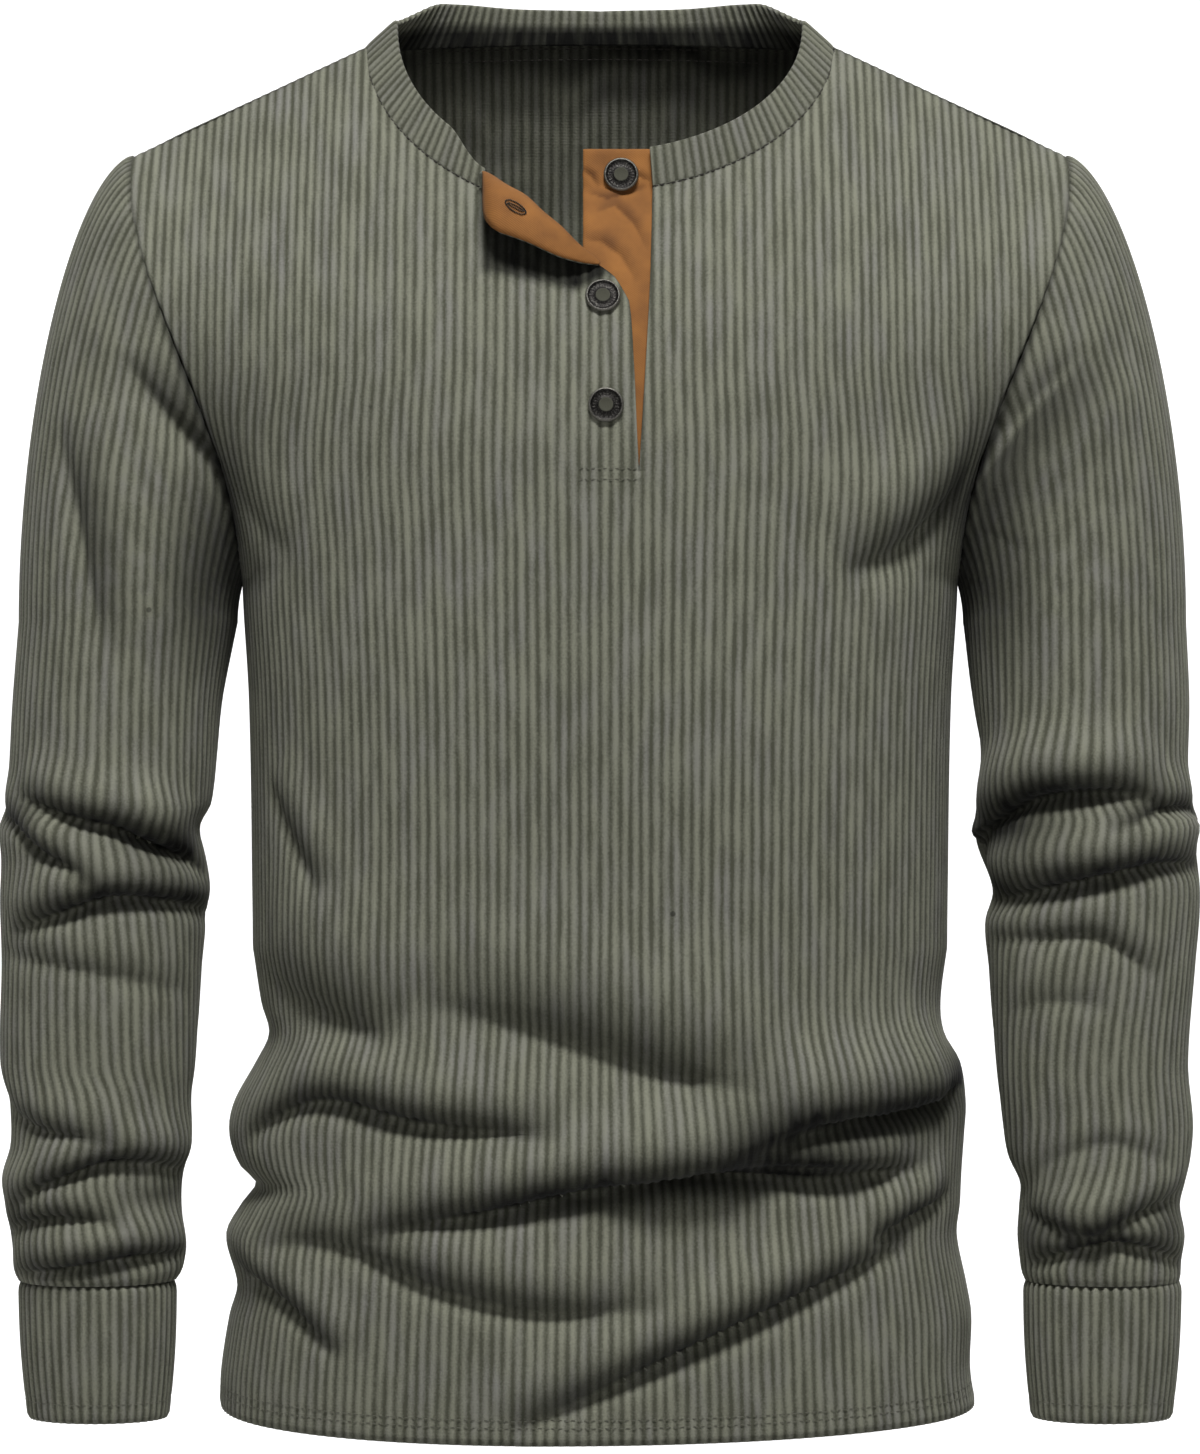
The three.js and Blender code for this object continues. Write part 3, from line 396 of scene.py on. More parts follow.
# Knit: how noise is drawn out along the ribs, stitches to a rib's pitch down and across, and specks
WOBBLE_STRETCH = (0.6, 0.14, 1.0)
STREAK_STRETCH = (0.9, 0.17, 1.0)
TONE_STRETCH = (0.35, 0.12, 1.0)
STITCHES_DOWN = 3.3
STITCHES_ACROSS = 4
SPECK_SCALE = 26.0
SPECK_RADIUS = 0.045
SPECK_RARITY = 0.93

# Stage, in metres: the floor's level, width and side view, where it begins to glow, lights and camera
FLOOR = -0.80
FLOOR_SIDES = (-8, 8)
FLOOR_FRONT = -6.0
BACKDROP = 4.6
BACKDROP_BEND = 1.0
BACKDROP_TOP = 7.0
GLOW_START = 0.15
GLOW_REACH = 0.3
LIGHTS = (
    ("key", (0.15, -1.9, 2.6), (0, 0, -0.5), (1.2, 0.6), 110),
    ("front", (0.2, -4.4, 0.1), (0, 0, -0.4), (2.0, 2.4), 11),
    ("rear", (0.8, 1.5, 1.9), (0, 0.2, -0.3), (1.6, 1.2), 6),
)
WORLD_LIGHT = 0.04
CAMERA_PLACE = (0.0, -3.0, -0.355)
CAMERA_LENS = 141.5
CAMERA_SENSOR = 36

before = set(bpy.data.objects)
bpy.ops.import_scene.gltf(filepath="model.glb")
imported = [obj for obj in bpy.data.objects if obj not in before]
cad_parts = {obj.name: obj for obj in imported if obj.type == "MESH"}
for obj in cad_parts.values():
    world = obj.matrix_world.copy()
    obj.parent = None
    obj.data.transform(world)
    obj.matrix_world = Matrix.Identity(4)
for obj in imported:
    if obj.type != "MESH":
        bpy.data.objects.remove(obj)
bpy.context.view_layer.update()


# Curves and surfaces


def mix(start, end, share):
    return start + (end - start) * share


def smooth(value):
    """A step from 0 to 1 with soft ends: t^2 (3 - 2t)."""
    t = np.clip(value, 0, 1)
    return t * t * (3 - 2 * t)


def bell(distance, reach):
    """exp(-(distance / reach)^2)"""
    return np.exp(-((distance / reach) ** 2))


def edge_dip(distance, depth=0.5, reach=1.6):
    """How far cloth turns in beside a seam or stitch: a bell of this depth."""
    return -depth * bell(distance, reach)


def darker(shade, other):
    """Two shades over each other: the light left is the product of what each lets through."""
    return 1 - (1 - np.minimum(shade, 1)) * (1 - other)


def stacked(*parts):
    """Coordinates, spread to one shape, as the last axis of one array."""
    return np.stack(np.broadcast_arrays(*parts), axis=-1)


def unit(vectors):
    return vectors / np.maximum(np.linalg.norm(vectors, axis=-1, keepdims=True), 1e-9)


def lengths_along(line):
    """The length of a line of points up to each of them."""
    return np.concatenate([[0], np.cumsum(np.linalg.norm(np.diff(line, axis=0), axis=-1))])


def interpolated(place, lengths, line):
    """Points of a line at some lengths along it."""
    return np.stack([np.interp(place, lengths, line[:, i]) for i in range(3)], axis=-1)


def cubic(t, start, leave, arrive, end):
    """A cubic curve: (1-t)^3 start + 3 (1-t)^2 t leave + 3 (1-t) t^2 arrive + t^3 end."""
    return (1 - t) ** 3 * start + 3 * (1 - t) ** 2 * t * leave + 3 * (1 - t) * t**2 * arrive + t**3 * end


def through(rows, along, column):
    """A smooth curve through a table's rows: cubic pieces, sloped at each row as between its neighbours."""
    at, value = np.array(rows[along], float), np.array(rows[column], float)
    last = len(at) - 1
    before = np.maximum(np.arange(last + 1) - 1, 0)
    after = np.minimum(np.arange(last + 1) + 1, last)
    slope = (value[after] - value[before]) / (at[after] - at[before])

    def curve(place):
        x = np.clip(place, at[0], at[-1])
        i = np.clip(np.searchsorted(at, x) - 1, 0, last - 1)
        step = at[i + 1] - at[i]
        t = (x - at[i]) / step
        rise = value[i + 1] - value[i]
        leave = slope[i] * step - rise
        arrive = slope[i + 1] * step - rise
        return value[i] + t * rise + t * (1 - t) * ((1 - t) * leave - t * arrive)

    return curve


def one_fold(round_way, z, depth, spread, path_round, path_z):
    """Rise and sag of one fold: depth x reach x exp((1 - reach^2) / 2), reach being the signed distance
    from the path over the spread, fading as a sine towards the path's ends. The bulge above the path is
    wide and the trough below it narrow, and the sag leans the one down over the other. The shade lies
    under the bulge, soft above and sharp below."""
    nearest = np.full(round_way.shape, np.inf)
    side = np.ones(round_way.shape)
    along = np.zeros(round_way.shape)
    for i in range(len(path_z) - 1):
        dx = path_round[i + 1] - path_round[i]
        dz = path_z[i + 1] - path_z[i]
        to_x = round_way - path_round[i]
        to_z = z - path_z[i]
        t = np.clip((to_x * dx + to_z * dz) / (dx * dx + dz * dz), 0, 1)
        off_x = to_x - t * dx
        off_z = to_z - t * dz
        distance = np.hypot(off_x, off_z)
        closer = distance < nearest
        nearest = np.where(closer, distance, nearest)
        side = np.where(closer, np.where(dx * off_z - dz * off_x < 0, -1, 1), side)
        along = np.where(closer, (i + t) / (len(path_z) - 1), along)
    reach = side * nearest / (spread * np.where(side > 0, FOLD_ABOVE, FOLD_BELOW))
    strength = depth * np.sin(np.pi * np.clip(along, 0, 1)) ** 0.7
    rise = strength * reach * np.exp((1 - reach**2) / 2)
    sag = FOLD_LEAN * strength * np.exp(-1.5 * (reach - 0.5) ** 2)
    shade = strength / spread * smooth((1.5 - reach) / 1.6) * smooth((reach + 1.05) / 0.5)
    return rise, sag, shade


def hollow_shade(hollows, angle, z):
    """Darkness of the hollows: for each, dark x a bell of its angle away x a bell of its height away."""
    shade = 0.0
    for at, level, wide, high, dark in zip(*hollows.values()):
        shade = darker(shade, dark * bell(np.degrees(angle) - at, wide) * bell(z - level, high))
    return shade


def fold_field(folds, radius, strength):
    """The folds together, as a function of the angle round the cloth and the height: rise, sag, shade."""
    laid = []
    for depth, spread, path in folds:
        angles, heights = np.array(path, float).T
        at = np.arange(len(path), dtype=float)
        rows = {"at": at, "round": np.radians(angles) * radius, "z": heights}
        place = np.linspace(0, at[-1], (len(path) - 1) * FOLD_PATH_STEPS + 1)
        line = [through(rows, "at", column)(place) for column in ("round", "z")]
        laid.append((depth * strength, spread, *line))

    def field(angle, z):
        round_way, z = np.broadcast_arrays(angle * radius, z)
        rise, sag, shade = (np.zeros(z.shape) for _ in range(3))
        for depth, spread, path_round, path_z in laid:
            margin = FOLD_MARGIN * spread
            for shift in (0, 2 * np.pi * radius):
                near = (
                    (round_way + shift > path_round.min() - margin)
                    & (round_way + shift < path_round.max() + margin)
                    & (z > path_z.min() - margin)
                    & (z < path_z.max() + margin)
                )
                if not near.any():
                    continue
                up, down, dark = one_fold(round_way[near] + shift, z[near], depth, spread, path_round, path_z)
                rise[near] += up
                sag[near] += down
                shade[near] = darker(dark, shade[near])
        return rise, sag, shade

    return field


def grid_normals(points, closed=False):
    """Outward normals of a net: columns run counterclockwise seen from outside, rows run on from them."""
    if closed:
        wrapped = np.concatenate([points[:, -2:-1], points, points[:, 1:2]], axis=1)
        across = (wrapped[:, 2:] - wrapped[:, :-2]) / 2
    else:
        across = np.gradient(points, axis=1)
    return unit(np.cross(across, np.gradient(points, axis=0)))


class Net:
    """Points, faces and rib coordinates of a mesh, gathered part by part. Points that lie at one place
    become one vertex, so that seams close."""

    def __init__(self):
        self.points = []
        self.faces = []
        self.coordinates = []
        self.shades = []
        self.count = 0

    def add_points(self, points, coordinates, shade=0.0):
        shape = points.shape[:-1]
        numbers = self.count + np.arange(math.prod(shape)).reshape(shape)
        self.points.append(points.reshape(-1, 3))
        self.shades.append(np.broadcast_to(shade, shape).reshape(-1))
        self.coordinates.append(np.broadcast_to(coordinates, shape + (2,)).reshape(-1, 2))
        self.count += numbers.size
        return numbers

    def add_quads(self, numbers, inward=False):
        corners = [numbers[:-1, :-1], numbers[:-1, 1:], numbers[1:, 1:], numbers[1:, :-1]]
        quads = np.stack(corners[::-1] if inward else corners, axis=-1).reshape(-1, 4)
        self.faces.extend(quads.tolist())

    def add_rim(self, outer, inner, turned):
        """A rim between an outer line of numbers and an inner one that has a point for each few of them."""
        skip = (len(outer) - 1) // (len(inner) - 1)
        for k in range(len(inner) - 1):
            stretch = outer[k * skip : (k + 1) * skip + 1].tolist()
            face = stretch + [int(inner[k + 1]), int(inner[k])]
            self.faces.append(face[::-1] if turned else face)

    def mesh(self, name):
        points = np.concatenate(self.points)
        coordinates = np.concatenate(self.coordinates)
        _, first, place = np.unique(np.round(points, 3), axis=0, return_index=True, return_inverse=True)
        place = place.reshape(-1)
        faces = []
        corners = []
        for face in self.faces:
            spots = place[face].tolist()
            kept = [i for i, spot in enumerate(spots) if spot != spots[i - 1]]
            if len(kept) < 3:
                continue
            faces.append([spots[i] for i in kept])
            corners.extend(face[i] for i in kept)
        mesh = bpy.data.meshes.new(name)
        mesh.from_pydata((points[first] * MM).tolist(), [], faces)
        layer = mesh.uv_layers.new(name="rib")
        layer.data.foreach_set("uv", coordinates[corners].ravel())
        shade = mesh.attributes.new("shade", "FLOAT", "POINT")
        shade.data.foreach_set("value", np.clip(np.concatenate(self.shades)[first], 0, 1))
        mesh.polygons.foreach_set("use_smooth", np.ones(len(faces), bool))
        mesh.update()
        return mesh


def cloth_wall(points, lift, thickness, coordinates, skip=COLUMNS_PER_RIB, closed=False, shade=0.0,
               inner_shade=0.0, normals=None, edges_from=(0, 0), net=None):
    """A wall of cloth on a net of points: its outer face lifted along the normals, and its inner face one
    thickness in, with a column for each few of the outer ones. Rims close its bottom, its top and, unless
    it goes all round, its left and right edges from the given rows up."""
    net = net or Net()
    normals = grid_normals(points, closed) if normals is None else normals
    outer_points = points + normals * lift[..., None]
    inner_points = (points - normals * thickness)[:, ::skip]
    if closed:
        outer_points[:, -1] = outer_points[:, 0]
        inner_points[:, -1] = inner_points[:, 0]
    outer = net.add_points(outer_points, coordinates, shade)
    inner = net.add_points(inner_points, coordinates[:, ::skip], inner_shade)
    net.add_quads(outer)
    net.add_quads(inner, inward=True)
    net.add_rim(outer[0], inner[0], turned=True)
    net.add_rim(outer[-1], inner[-1], turned=False)
    if not closed:
        left, right = edges_from
        net.add_rim(outer[left:, 0], inner[left:, 0], turned=False)
        net.add_rim(outer[right:, -1], inner[right:, -1], turned=True)
    return net


# Body shape

body_half = through(BODY, "z", "half")
body_reach = {face: through(BODY, "z", face) for face in ("front", "back")}
side_step = {side: through(SIDES, "z", side) for side in ("right", "left")}
body_folds = fold_field(BODY_FOLDS, BODY_FOLD_RADIUS, BODY_FOLD_STRENGTH)
overlap_edge = through(OVERLAP_EDGE, "z", "x")
under_edge = through(UNDER_EDGE, "z", "x")
lapel_edge = through(LAPEL_EDGE, "x", "z")


def even_steps():
    """Even steps along a section from the middle, 0, to the side, 1, as shares of the half width."""
    turn = np.linspace(0, np.pi / 2, 201)
    across = np.sin(turn) ** (2 / SECTION_CURVE)
    deep = np.clip(np.cos(turn), 0, 1) ** (2 / SECTION_CURVE)
    steps = np.hypot(np.diff(across), SECTION_DEPTH * np.diff(deep))
    return np.concatenate([[0], np.cumsum(steps)]), across


STEP_LENGTHS, STEP_PLACES = even_steps()


def armhole_share(z):
    return np.clip((z - UNDERARM) / (SHOULDER_TIP_LEVEL - UNDERARM), 0, 1)


def above_underarm(z):
    """0 up to the underarm, and 1 from halfway up the armhole."""
    return smooth(armhole_share(z) * 2)


def underarm_share(z):
    """How near a height is to the underarm: 1 there, 0 well above and below."""
    return smooth((z - UNDERARM + 70) / 70) * smooth((UNDERARM + 120 - z) / 90)


def half_width(z):
    widening = (SHOULDER_TIP - UNDERARM_SIDE) * (1 - np.cos(np.pi * armhole_share(z))) / 2
    return np.where(z > UNDERARM, UNDERARM_SIDE, body_half(z)) + widening


def shoulder_line(x):
    share = np.clip((np.abs(x) - NECK_SIDE) / (SHOULDER_TIP - NECK_SIDE), 0, 1)
    return mix(NECK_LEVEL, SHOULDER_TIP_LEVEL, share)


def armhole_reach(x, z, face):
    """Its greatest reach x (4 x share x (1 - share)) to a power: 0.5 at the side, 1.5 further in, where
    share is how far up the armhole a height lies."""
    share = np.clip((z - UNDERARM) / (shoulder_line(x) - UNDERARM), 0, 1)
    sideways = np.minimum(np.abs(x) / half_width(z), 1)
    return ARMHOLE[face] * (4 * share * (1 - share)) ** mix(1.5, 0.5, sideways**8)


def neckline(x, face):
    q = np.clip(np.abs(x) / NECK_SIDE, 0, 1)
    if face == "back":
        return NECK_LEVEL + NECK_BACK_RISE * (1 - q * q)
    drop = np.where(x < 0, NECK_DROP_RIGHT, NECK_DROP_LEFT)
    return NECK_LEVEL - drop * (1 - q**NECK_CURVE) ** (1 / NECK_CURVE)


def rounding_level(x, z, face):
    """The level that the front or back rounds off from: the shoulder seam, or an arch lower down."""
    q = np.minimum(np.abs(x) / NECK_SIDE, 1)
    behind_neck = neckline(x, face) + NECK_BACK_REACH * (1 - q * q) ** 0.625
    seam = shoulder_line(x) if face == "front" else np.where(q >= 1, shoulder_line(x), behind_neck)
    arch = mix(NECK_LEVEL + ARCH_RISE[face], SHOULDER_TIP_LEVEL, (x / SHOULDER_TIP) ** 2)
    return mix(seam, arch, smooth((shoulder_line(x) - z) / ARCH_DROP))


def plain_across(across, z):
    """Columns at even steps along the section below the underarm, and at even widths further up."""
    size = np.abs(across)
    even = np.interp(size * STEP_LENGTHS[-1], STEP_LENGTHS, STEP_PLACES)
    return np.sign(across) * half_width(z) * mix(even, size, above_underarm(z))


def place_across(across, z, face, beyond=False):
    """How far to the side each column lies. On the front, columns near the slit are drawn to the slit's
    edge on their own side."""
    plain = plain_across(across, z)
    if face == "back":
        return plain
    near = np.cos(np.clip(np.abs(across - SLIT_ACROSS) / SLIT_REACH, 0, 1) * np.pi / 2) ** 2
    wanted = under_edge(z) if beyond else overlap_edge(z)
    fade = smooth((z - SLIT_END + SLIT_FADE) / SLIT_FADE)
    return plain + (wanted - plain_across(SLIT_ACROSS, z)) * near * fade


def rib_count(x, z):
    """Ribs from the middle to a place: even along the section below the underarm, and as many to each
    length further up, so that the ribs hang straight and the armhole's seam cuts them."""
    size = np.abs(x)
    ribs = BACK_RIBS / 2 * STEP_LENGTHS / STEP_LENGTHS[-1]
    along = np.interp(size / half_width(z), STEP_PLACES, ribs)
    straight = np.interp(np.minimum(size, STRAIGHT_TO) / UNDERARM_SIDE, STEP_PLACES, ribs)
    straight = straight + np.maximum(size - STRAIGHT_TO, 0) * RIB_SPREAD / RIB_PITCH
    return np.sign(x) * mix(along, straight, above_underarm(z))


def smooth_depth(x, z, face):
    """Depth of the smooth body: from the armhole's reach at the side to the full reach at the middle, as
    (1 - q^2.4) to a power, and rounding off to the shoulders as a quarter of a sine."""
    q = np.clip(np.abs(x) / half_width(z), 0, 1)
    below = np.maximum(rounding_level(x, z, face) - z, 0)
    cap = np.sin(np.pi / 2 * np.clip(below / CAP_HEIGHT[face], 0, 1)) ** 0.8
    edge = armhole_reach(x, z, face)
    power = mix(1 / SECTION_CURVE, 0.85, above_underarm(z))
    return edge + (body_reach[face](z) * cap - edge) * (1 - q**SECTION_CURVE) ** power


def shaded_body_point(x, z, face):
    """A point of the body's outer face, the smooth body moved out by its folds and uneven sides, and how
    dark its folds and hollows make it."""
    facing = -1 if face == "front" else 1
    half = half_width(z)
    q = np.clip(x / half, -1, 1)
    depth = smooth_depth(x, z, face)
    angle = np.arcsin(q) if face == "front" else np.pi - np.arcsin(q)
    rise, sag, shade = body_folds(angle, z)
    shade = darker(shade, hollow_shade(BODY_HOLLOWS, angle, z))
    fade = 1 - smooth((z - FOLD_TOP) / FOLD_FADE)
    strength = fade * np.minimum((1 - np.abs(q)) * 12, 1)
    out = unit(stacked(x / half**2, facing * depth / body_reach[face](z) ** 2, 0.0)) * [SIDEWAYS_FOLD, 1, 0]
    step = np.where(x < 0, side_step["right"](z), side_step["left"](z)) * np.abs(q) ** 5 * np.sign(x)
    point = stacked(x + step, facing * np.maximum(depth, SEAM_GAP / 2), z - sag * strength)
    return point + out * (rise * strength)[..., None], shade * fade


def body_point(x, z, face):
    return shaded_body_point(x, z, face)[0]


def hem_line(across, face):
    return HEM - (HEM_SAG[face] + HEM_TILT[face] * across) * (1 - across**2)


def middle_level(across):
    return UNDERARM + (SLIT_END - UNDERARM) * (1 - across**2) / (1 - SLIT_ACROSS**2)


def column_tops(across, face, beyond):
    """Where each column of the cloth ends at the top, found by halving."""
    low = np.full(across.shape, float(SLIT_END))
    high = np.full(across.shape, float(NECK_LEVEL + NECK_BACK_RISE))
    for _ in range(HALVINGS):
        z = (low + high) / 2
        x = place_across(across, z, face, beyond)
        edge = neckline(x, face)
        if face == "front" and not beyond:
            edge = np.where((x > LAPEL_EDGE["x"][0]) & (across > LAPEL_START), lapel_edge(x), edge)
        edge = np.where(np.abs(x) >= NECK_SIDE, shoulder_line(x), edge)
        below = edge > z
        low = np.where(below, z, low)
        high = np.where(below, high, z)
    return np.where(np.abs(across) >= 1, SHOULDER_TIP_LEVEL, (low + high) / 2)


def flap_shade(x, z):
    """The dark place on the front that the turned-back corner keeps the light from."""
    lowest = np.interp(x, LAPEL_SHADOW["x"], LAPEL_SHADOW["z"])
    return 0.9 * smooth((x + 63) / 6) * smooth((8 - x) / 8) * smooth((z - lowest) / 6)


def from_side(across, z):
    """Cloth between a place and the side seam."""
    return (1 - np.abs(across)) * half_width(z) * SIDE_STRETCH


def body_columns(across, face, rows, beyond=False):
    """Points of a stretch of the front or back, rows from the hem up, with their heights, rib counts and
    shades."""
    lower, upper = rows
    level = middle_level(across)
    top = column_tops(across, face, beyond)
    low_part = mix(hem_line(across, face), level, (np.arange(lower) / lower)[:, None])
    high_part = mix(level, top, ((1 - np.cos(np.pi * np.arange(upper + 1) / upper)) / 2)[:, None])
    z = np.concatenate([low_part, high_part])
    x = place_across(across, z, face, beyond)
    points, shade = shaded_body_point(x, z, face)
    if face == "front" and not beyond:
        shade = np.maximum(shade, flap_shade(x, z))
    inward = 1 - np.abs(across)
    # Painted shade: a soft band and a thin dark line beside the side seam about the underarm, and a thin line
    # along the side seam and the top edge
    shade = darker(shade, UNDERARM_SHADE * bell(inward, 0.13) * underarm_share(z))
    shade = darker(shade, 0.9 * bell(inward, 0.03) * underarm_share(z + 20))
    seam = np.minimum(from_side(across, z), top - z)
    return points, z, rib_count(x, z), darker(shade, SEAM_SHADE * bell(seam, 1.3))


def body_lift(z, across, phase, rib_rise, at_slit=False):
    """How far ribs, hem and seams move the outer face: a cosine across each rib, and dips at the seams."""
    ribs = -np.cos(2 * np.pi * phase) * rib_rise / 2
    top = z[-1] - z
    height = z - z[0]
    dips = edge_dip(from_side(across, z)) + edge_dip(top) + edge_dip(height, depth=0.7)
    if at_slit:
        slit = np.abs(across - SLIT_ACROSS) * half_width(z) * SIDE_STRETCH
        dips = dips + np.where(z > SLIT_END, edge_dip(slit, depth=0.6), 0)
    stitched = sum(edge_dip(height - line, 0.35, STITCH_REACH) for line in HEM_STITCHES)
    return ribs * (1 - 0.5 * bell(top, 3)) + dips + stitched


def build_front(rib_rise):
    """The front in two stretches, joined below the slit and each with its own edge along it."""
    stretches = []
    for name, start, end in (("overlap", -1, SLIT_ACROSS), ("under", SLIT_ACROSS, 1)):
        across = np.linspace(start, end, FRONT_RIBS[name] * COLUMNS_PER_RIB + 1)
        points, z, phase, shade = body_columns(across, "front", FRONT_ROWS, beyond=name == "under")
        lift = body_lift(z, across, phase, rib_rise, at_slit=True)
        stretches.append((points, lift, stacked(phase, z / RIB_PITCH), shade))
    overlap, under = stretches
    joined = FRONT_ROWS[0]
    whole = np.concatenate([overlap[0], under[0][:, 1:]], axis=1)
    shared = grid_normals(whole)[: joined + 1, overlap[0].shape[1] - 1]
    under[1][: joined + 1, 0] = overlap[1][: joined + 1, -1]
    net = Net()
    for stretch, column, edges_from in ((overlap, -1, (0, joined)), (under, 0, (joined, 0))):
        points, lift, coordinates, shade = stretch
        normals = grid_normals(points)
        normals[: joined + 1, column] = shared
        cloth_wall(points, lift, CLOTH, coordinates, shade=shade, normals=normals, edges_from=edges_from,
                   net=net)
    return net


def crumpled(x, below_band):
    """Small creases inside the back at the neck, as a shade: sines down the cloth that waver across it,
    under a slow change from the right to the left."""
    waver = 1.6 * np.sin(x / 17) + 0.9 * np.sin(x / 6.5 + 1)
    crease = np.sin(below_band / 3.6 + waver) * (0.6 + 0.4 * np.sin(x / 29 + below_band / 15))
    return (0.17 * crease + 0.14 * smooth((x + 30) / 90) - 0.08) * smooth((150 - below_band) / 60)


def build_back(rib_rise):
    across = np.linspace(1, -1, BACK_RIBS * COLUMNS_PER_RIB + 1)
    points, z, phase, shade = body_columns(across, "back", BACK_ROWS)
    lift = body_lift(z, across, phase, rib_rise)
    below_band = (z[-1] - z)[:, ::COLUMNS_PER_RIB]
    # Painted shade on the inner face, seen through the neck: darkest just below the top edge, a fainter band
    # lower down, and the painted shade of small creases
    inside = 0.75 * bell(below_band, 26) + 0.2 * bell(below_band - 75, 22)
    inside = np.clip(inside + crumpled(points[:, ::COLUMNS_PER_RIB, 0], below_band), 0, 1)
    return cloth_wall(points, lift, CLOTH, stacked(phase, z / RIB_PITCH), shade=shade, inner_shade=inside)


# Sleeves


def armhole_point(turn, side):
    """The armhole's edge at a turn: 0 at the shoulder tip, half a turn at the underarm, front first."""
    z = mix(UNDERARM, SHOULDER_TIP_LEVEL, (1 + np.cos(turn)) / 2)
    x = half_width(z)
    front, back = armhole_reach(x, z, "front"), armhole_reach(x, z, "back")
    return stacked(side * x, np.where(np.sin(turn) >= 0, -front, back), z)


def sleeve_points(side, edges, folds, hollows):
    """Rows of rings: from the armhole's edge on cubic curves that leave it sideways and arrive straight
    down, then level ovals between the sleeve's two edges, moved out by the folds."""
    outer_edge, inner_edge = through(edges, "z", "outer"), through(edges, "z", "inner")
    depth_at, middle_at = through(SLEEVE_DEPTH, "z", "depth"), through(SLEEVE_DEPTH, "z", "middle")
    turn = np.linspace(-np.pi, np.pi, SLEEVE_COLUMNS + 1)

    def level_ring(z):
        outer, inner = outer_edge(z), inner_edge(z)
        x = side * ((outer + inner) / 2 + (outer - inner) / 2 * np.cos(turn))
        return stacked(x, middle_at(z) - depth_at(z) * np.sin(turn), z)

    cap_rows, lower_rows = SLEEVE_ROWS
    start = armhole_point(turn, side) + [side * SEAM_GAP / 2, 0, 0]
    end = level_ring(SLEEVE_START)
    span = np.linalg.norm(end - start, axis=-1)[:, None]
    droop = np.radians(mix(*SLEEVE_DROOP, (1 - np.cos(turn)) / 2))
    leave = start + stacked(side * np.cos(droop), 0.0, -np.sin(droop)) * (span * SLEEVE_LEAVE)
    arrive = end + np.array([0, 0, 1]) * (span * SLEEVE_ARRIVE)
    t = ((np.arange(cap_rows) / cap_rows) ** CAP_SPACING)[:, None, None]
    levels = np.linspace(SLEEVE_START, CUFF_TOP + SEAM_GAP / 2, lower_rows + 1)
    points = np.concatenate([cubic(t, start, leave, arrive, end), [level_ring(z) for z in levels]])
    from_front = np.arctan2(side * np.cos(turn), np.sin(turn))
    angle = np.where(from_front < -np.pi / 2, from_front + 2 * np.pi, from_front)
    height = points[..., 2]
    # The folds' rise and sag, and the painted shade of the folds and of the hollows beside them
    rise, sag, shade = fold_field(folds, SLEEVE_FOLD_RADIUS, SLEEVE_FOLD_STRENGTH)(angle, height)
    shade = darker(shade, hollow_shade(hollows, angle, height))
    row = np.arange(len(points))
    held = (smooth(row / 6) * smooth((len(points) - 1 - row) / 3))[:, None]
    out = stacked(SIDEWAYS_FOLD * side * np.cos(turn), -np.sin(turn), 0.0)
    points = points + out * (rise * held)[..., None]
    points[..., 2] -= sag * held
    points[:, -1] = points[:, 0]
    return points, shade * held


def sleeve_ribs(points):
    """Rib count at each point: the way round from the sleeve's outer line, on level sections, over the
    pitch, so that ribs run down the sleeve and the armhole and underarm seams cut them."""
    half = points.shape[1] // 2
    crown = points[::-1, half]
    x, y, z = np.moveaxis(points, -1, 0)
    outermost = np.interp(z, crown[:, 2], np.abs(crown[:, 0]))
    middle = np.interp(z, crown[:, 2], crown[:, 1])
    radius = np.interp(z, [CUFF_TOP, SLEEVE_START], SLEEVE_RIB_RADII)
    turn = np.arctan2(middle - y, np.abs(x) - outermost + radius)
    turn[:, :half] = np.where(turn[:, :half] > 0.5, turn[:, :half] - 2 * np.pi, turn[:, :half])
    turn[:, half:] = np.where(turn[:, half:] < -0.5, turn[:, half:] + 2 * np.pi, turn[:, half:])
    return turn * radius / SLEEVE_RIB_PITCH


def build_sleeve(side, edges, folds, hollows, rib_rise):
    points, shade = sleeve_points(side, edges, folds, hollows)
    ribs = sleeve_ribs(points)
    way = lengths_along(points[:, SLEEVE_COLUMNS // 2])
    down = np.broadcast_to(way[:, None], ribs.shape)
    coordinates = stacked(ribs, down / RIB_PITCH)
    turn = np.linspace(-np.pi, np.pi, SLEEVE_COLUMNS + 1)
    seam = (np.pi - np.abs(turn)) * SLEEVE_RADIUS
    lift = np.cos(2 * np.pi * ribs) * rib_rise / 2 + edge_dip(down) + edge_dip(way[-1] - down, 1.4, 3)
    lift = lift + edge_dip(seam, depth=0.6) * smooth(down / 20)
    # Painted shade: along the armhole seam, wider and darker where the seam runs low towards the underarm,
    # and on the sleeve's under side near the underarm
    deep = smooth((-95 - points[:1, :, 2]) / 130)
    shade = darker(shade, mix(SEAM_SHADE, 0.97, deep) * bell(down, mix(1.3, 9, deep)))
    inward = smooth((-np.cos(turn) - 0.15) / 0.7)
    shade = darker(shade, UNDERARM_SHADE * inward * underarm_share(points[..., 2]))
    if side < 0:
        points, lift, coordinates, shade = (values[:, ::-1] for values in (points, lift, coordinates, shade))
    return cloth_wall(points, lift, CLOTH, coordinates, closed=True, shade=shade)


def cuff_oval(side, share, bulge, turn):
    """The cuff's section at a share of its length from the sleeve: its middle's x, and an oval's x and y."""
    outer, inner, depth = (mix(a, b, share) for a, b in zip(CUFF_RINGS["top"], CUFF_RINGS["end"]))
    middle = side * (outer + inner) / 2
    x = middle + side * ((outer - inner) / 2 + bulge) * np.cos(turn)
    return middle, x, CUFF_MIDDLE - (depth + bulge) * np.sin(turn)


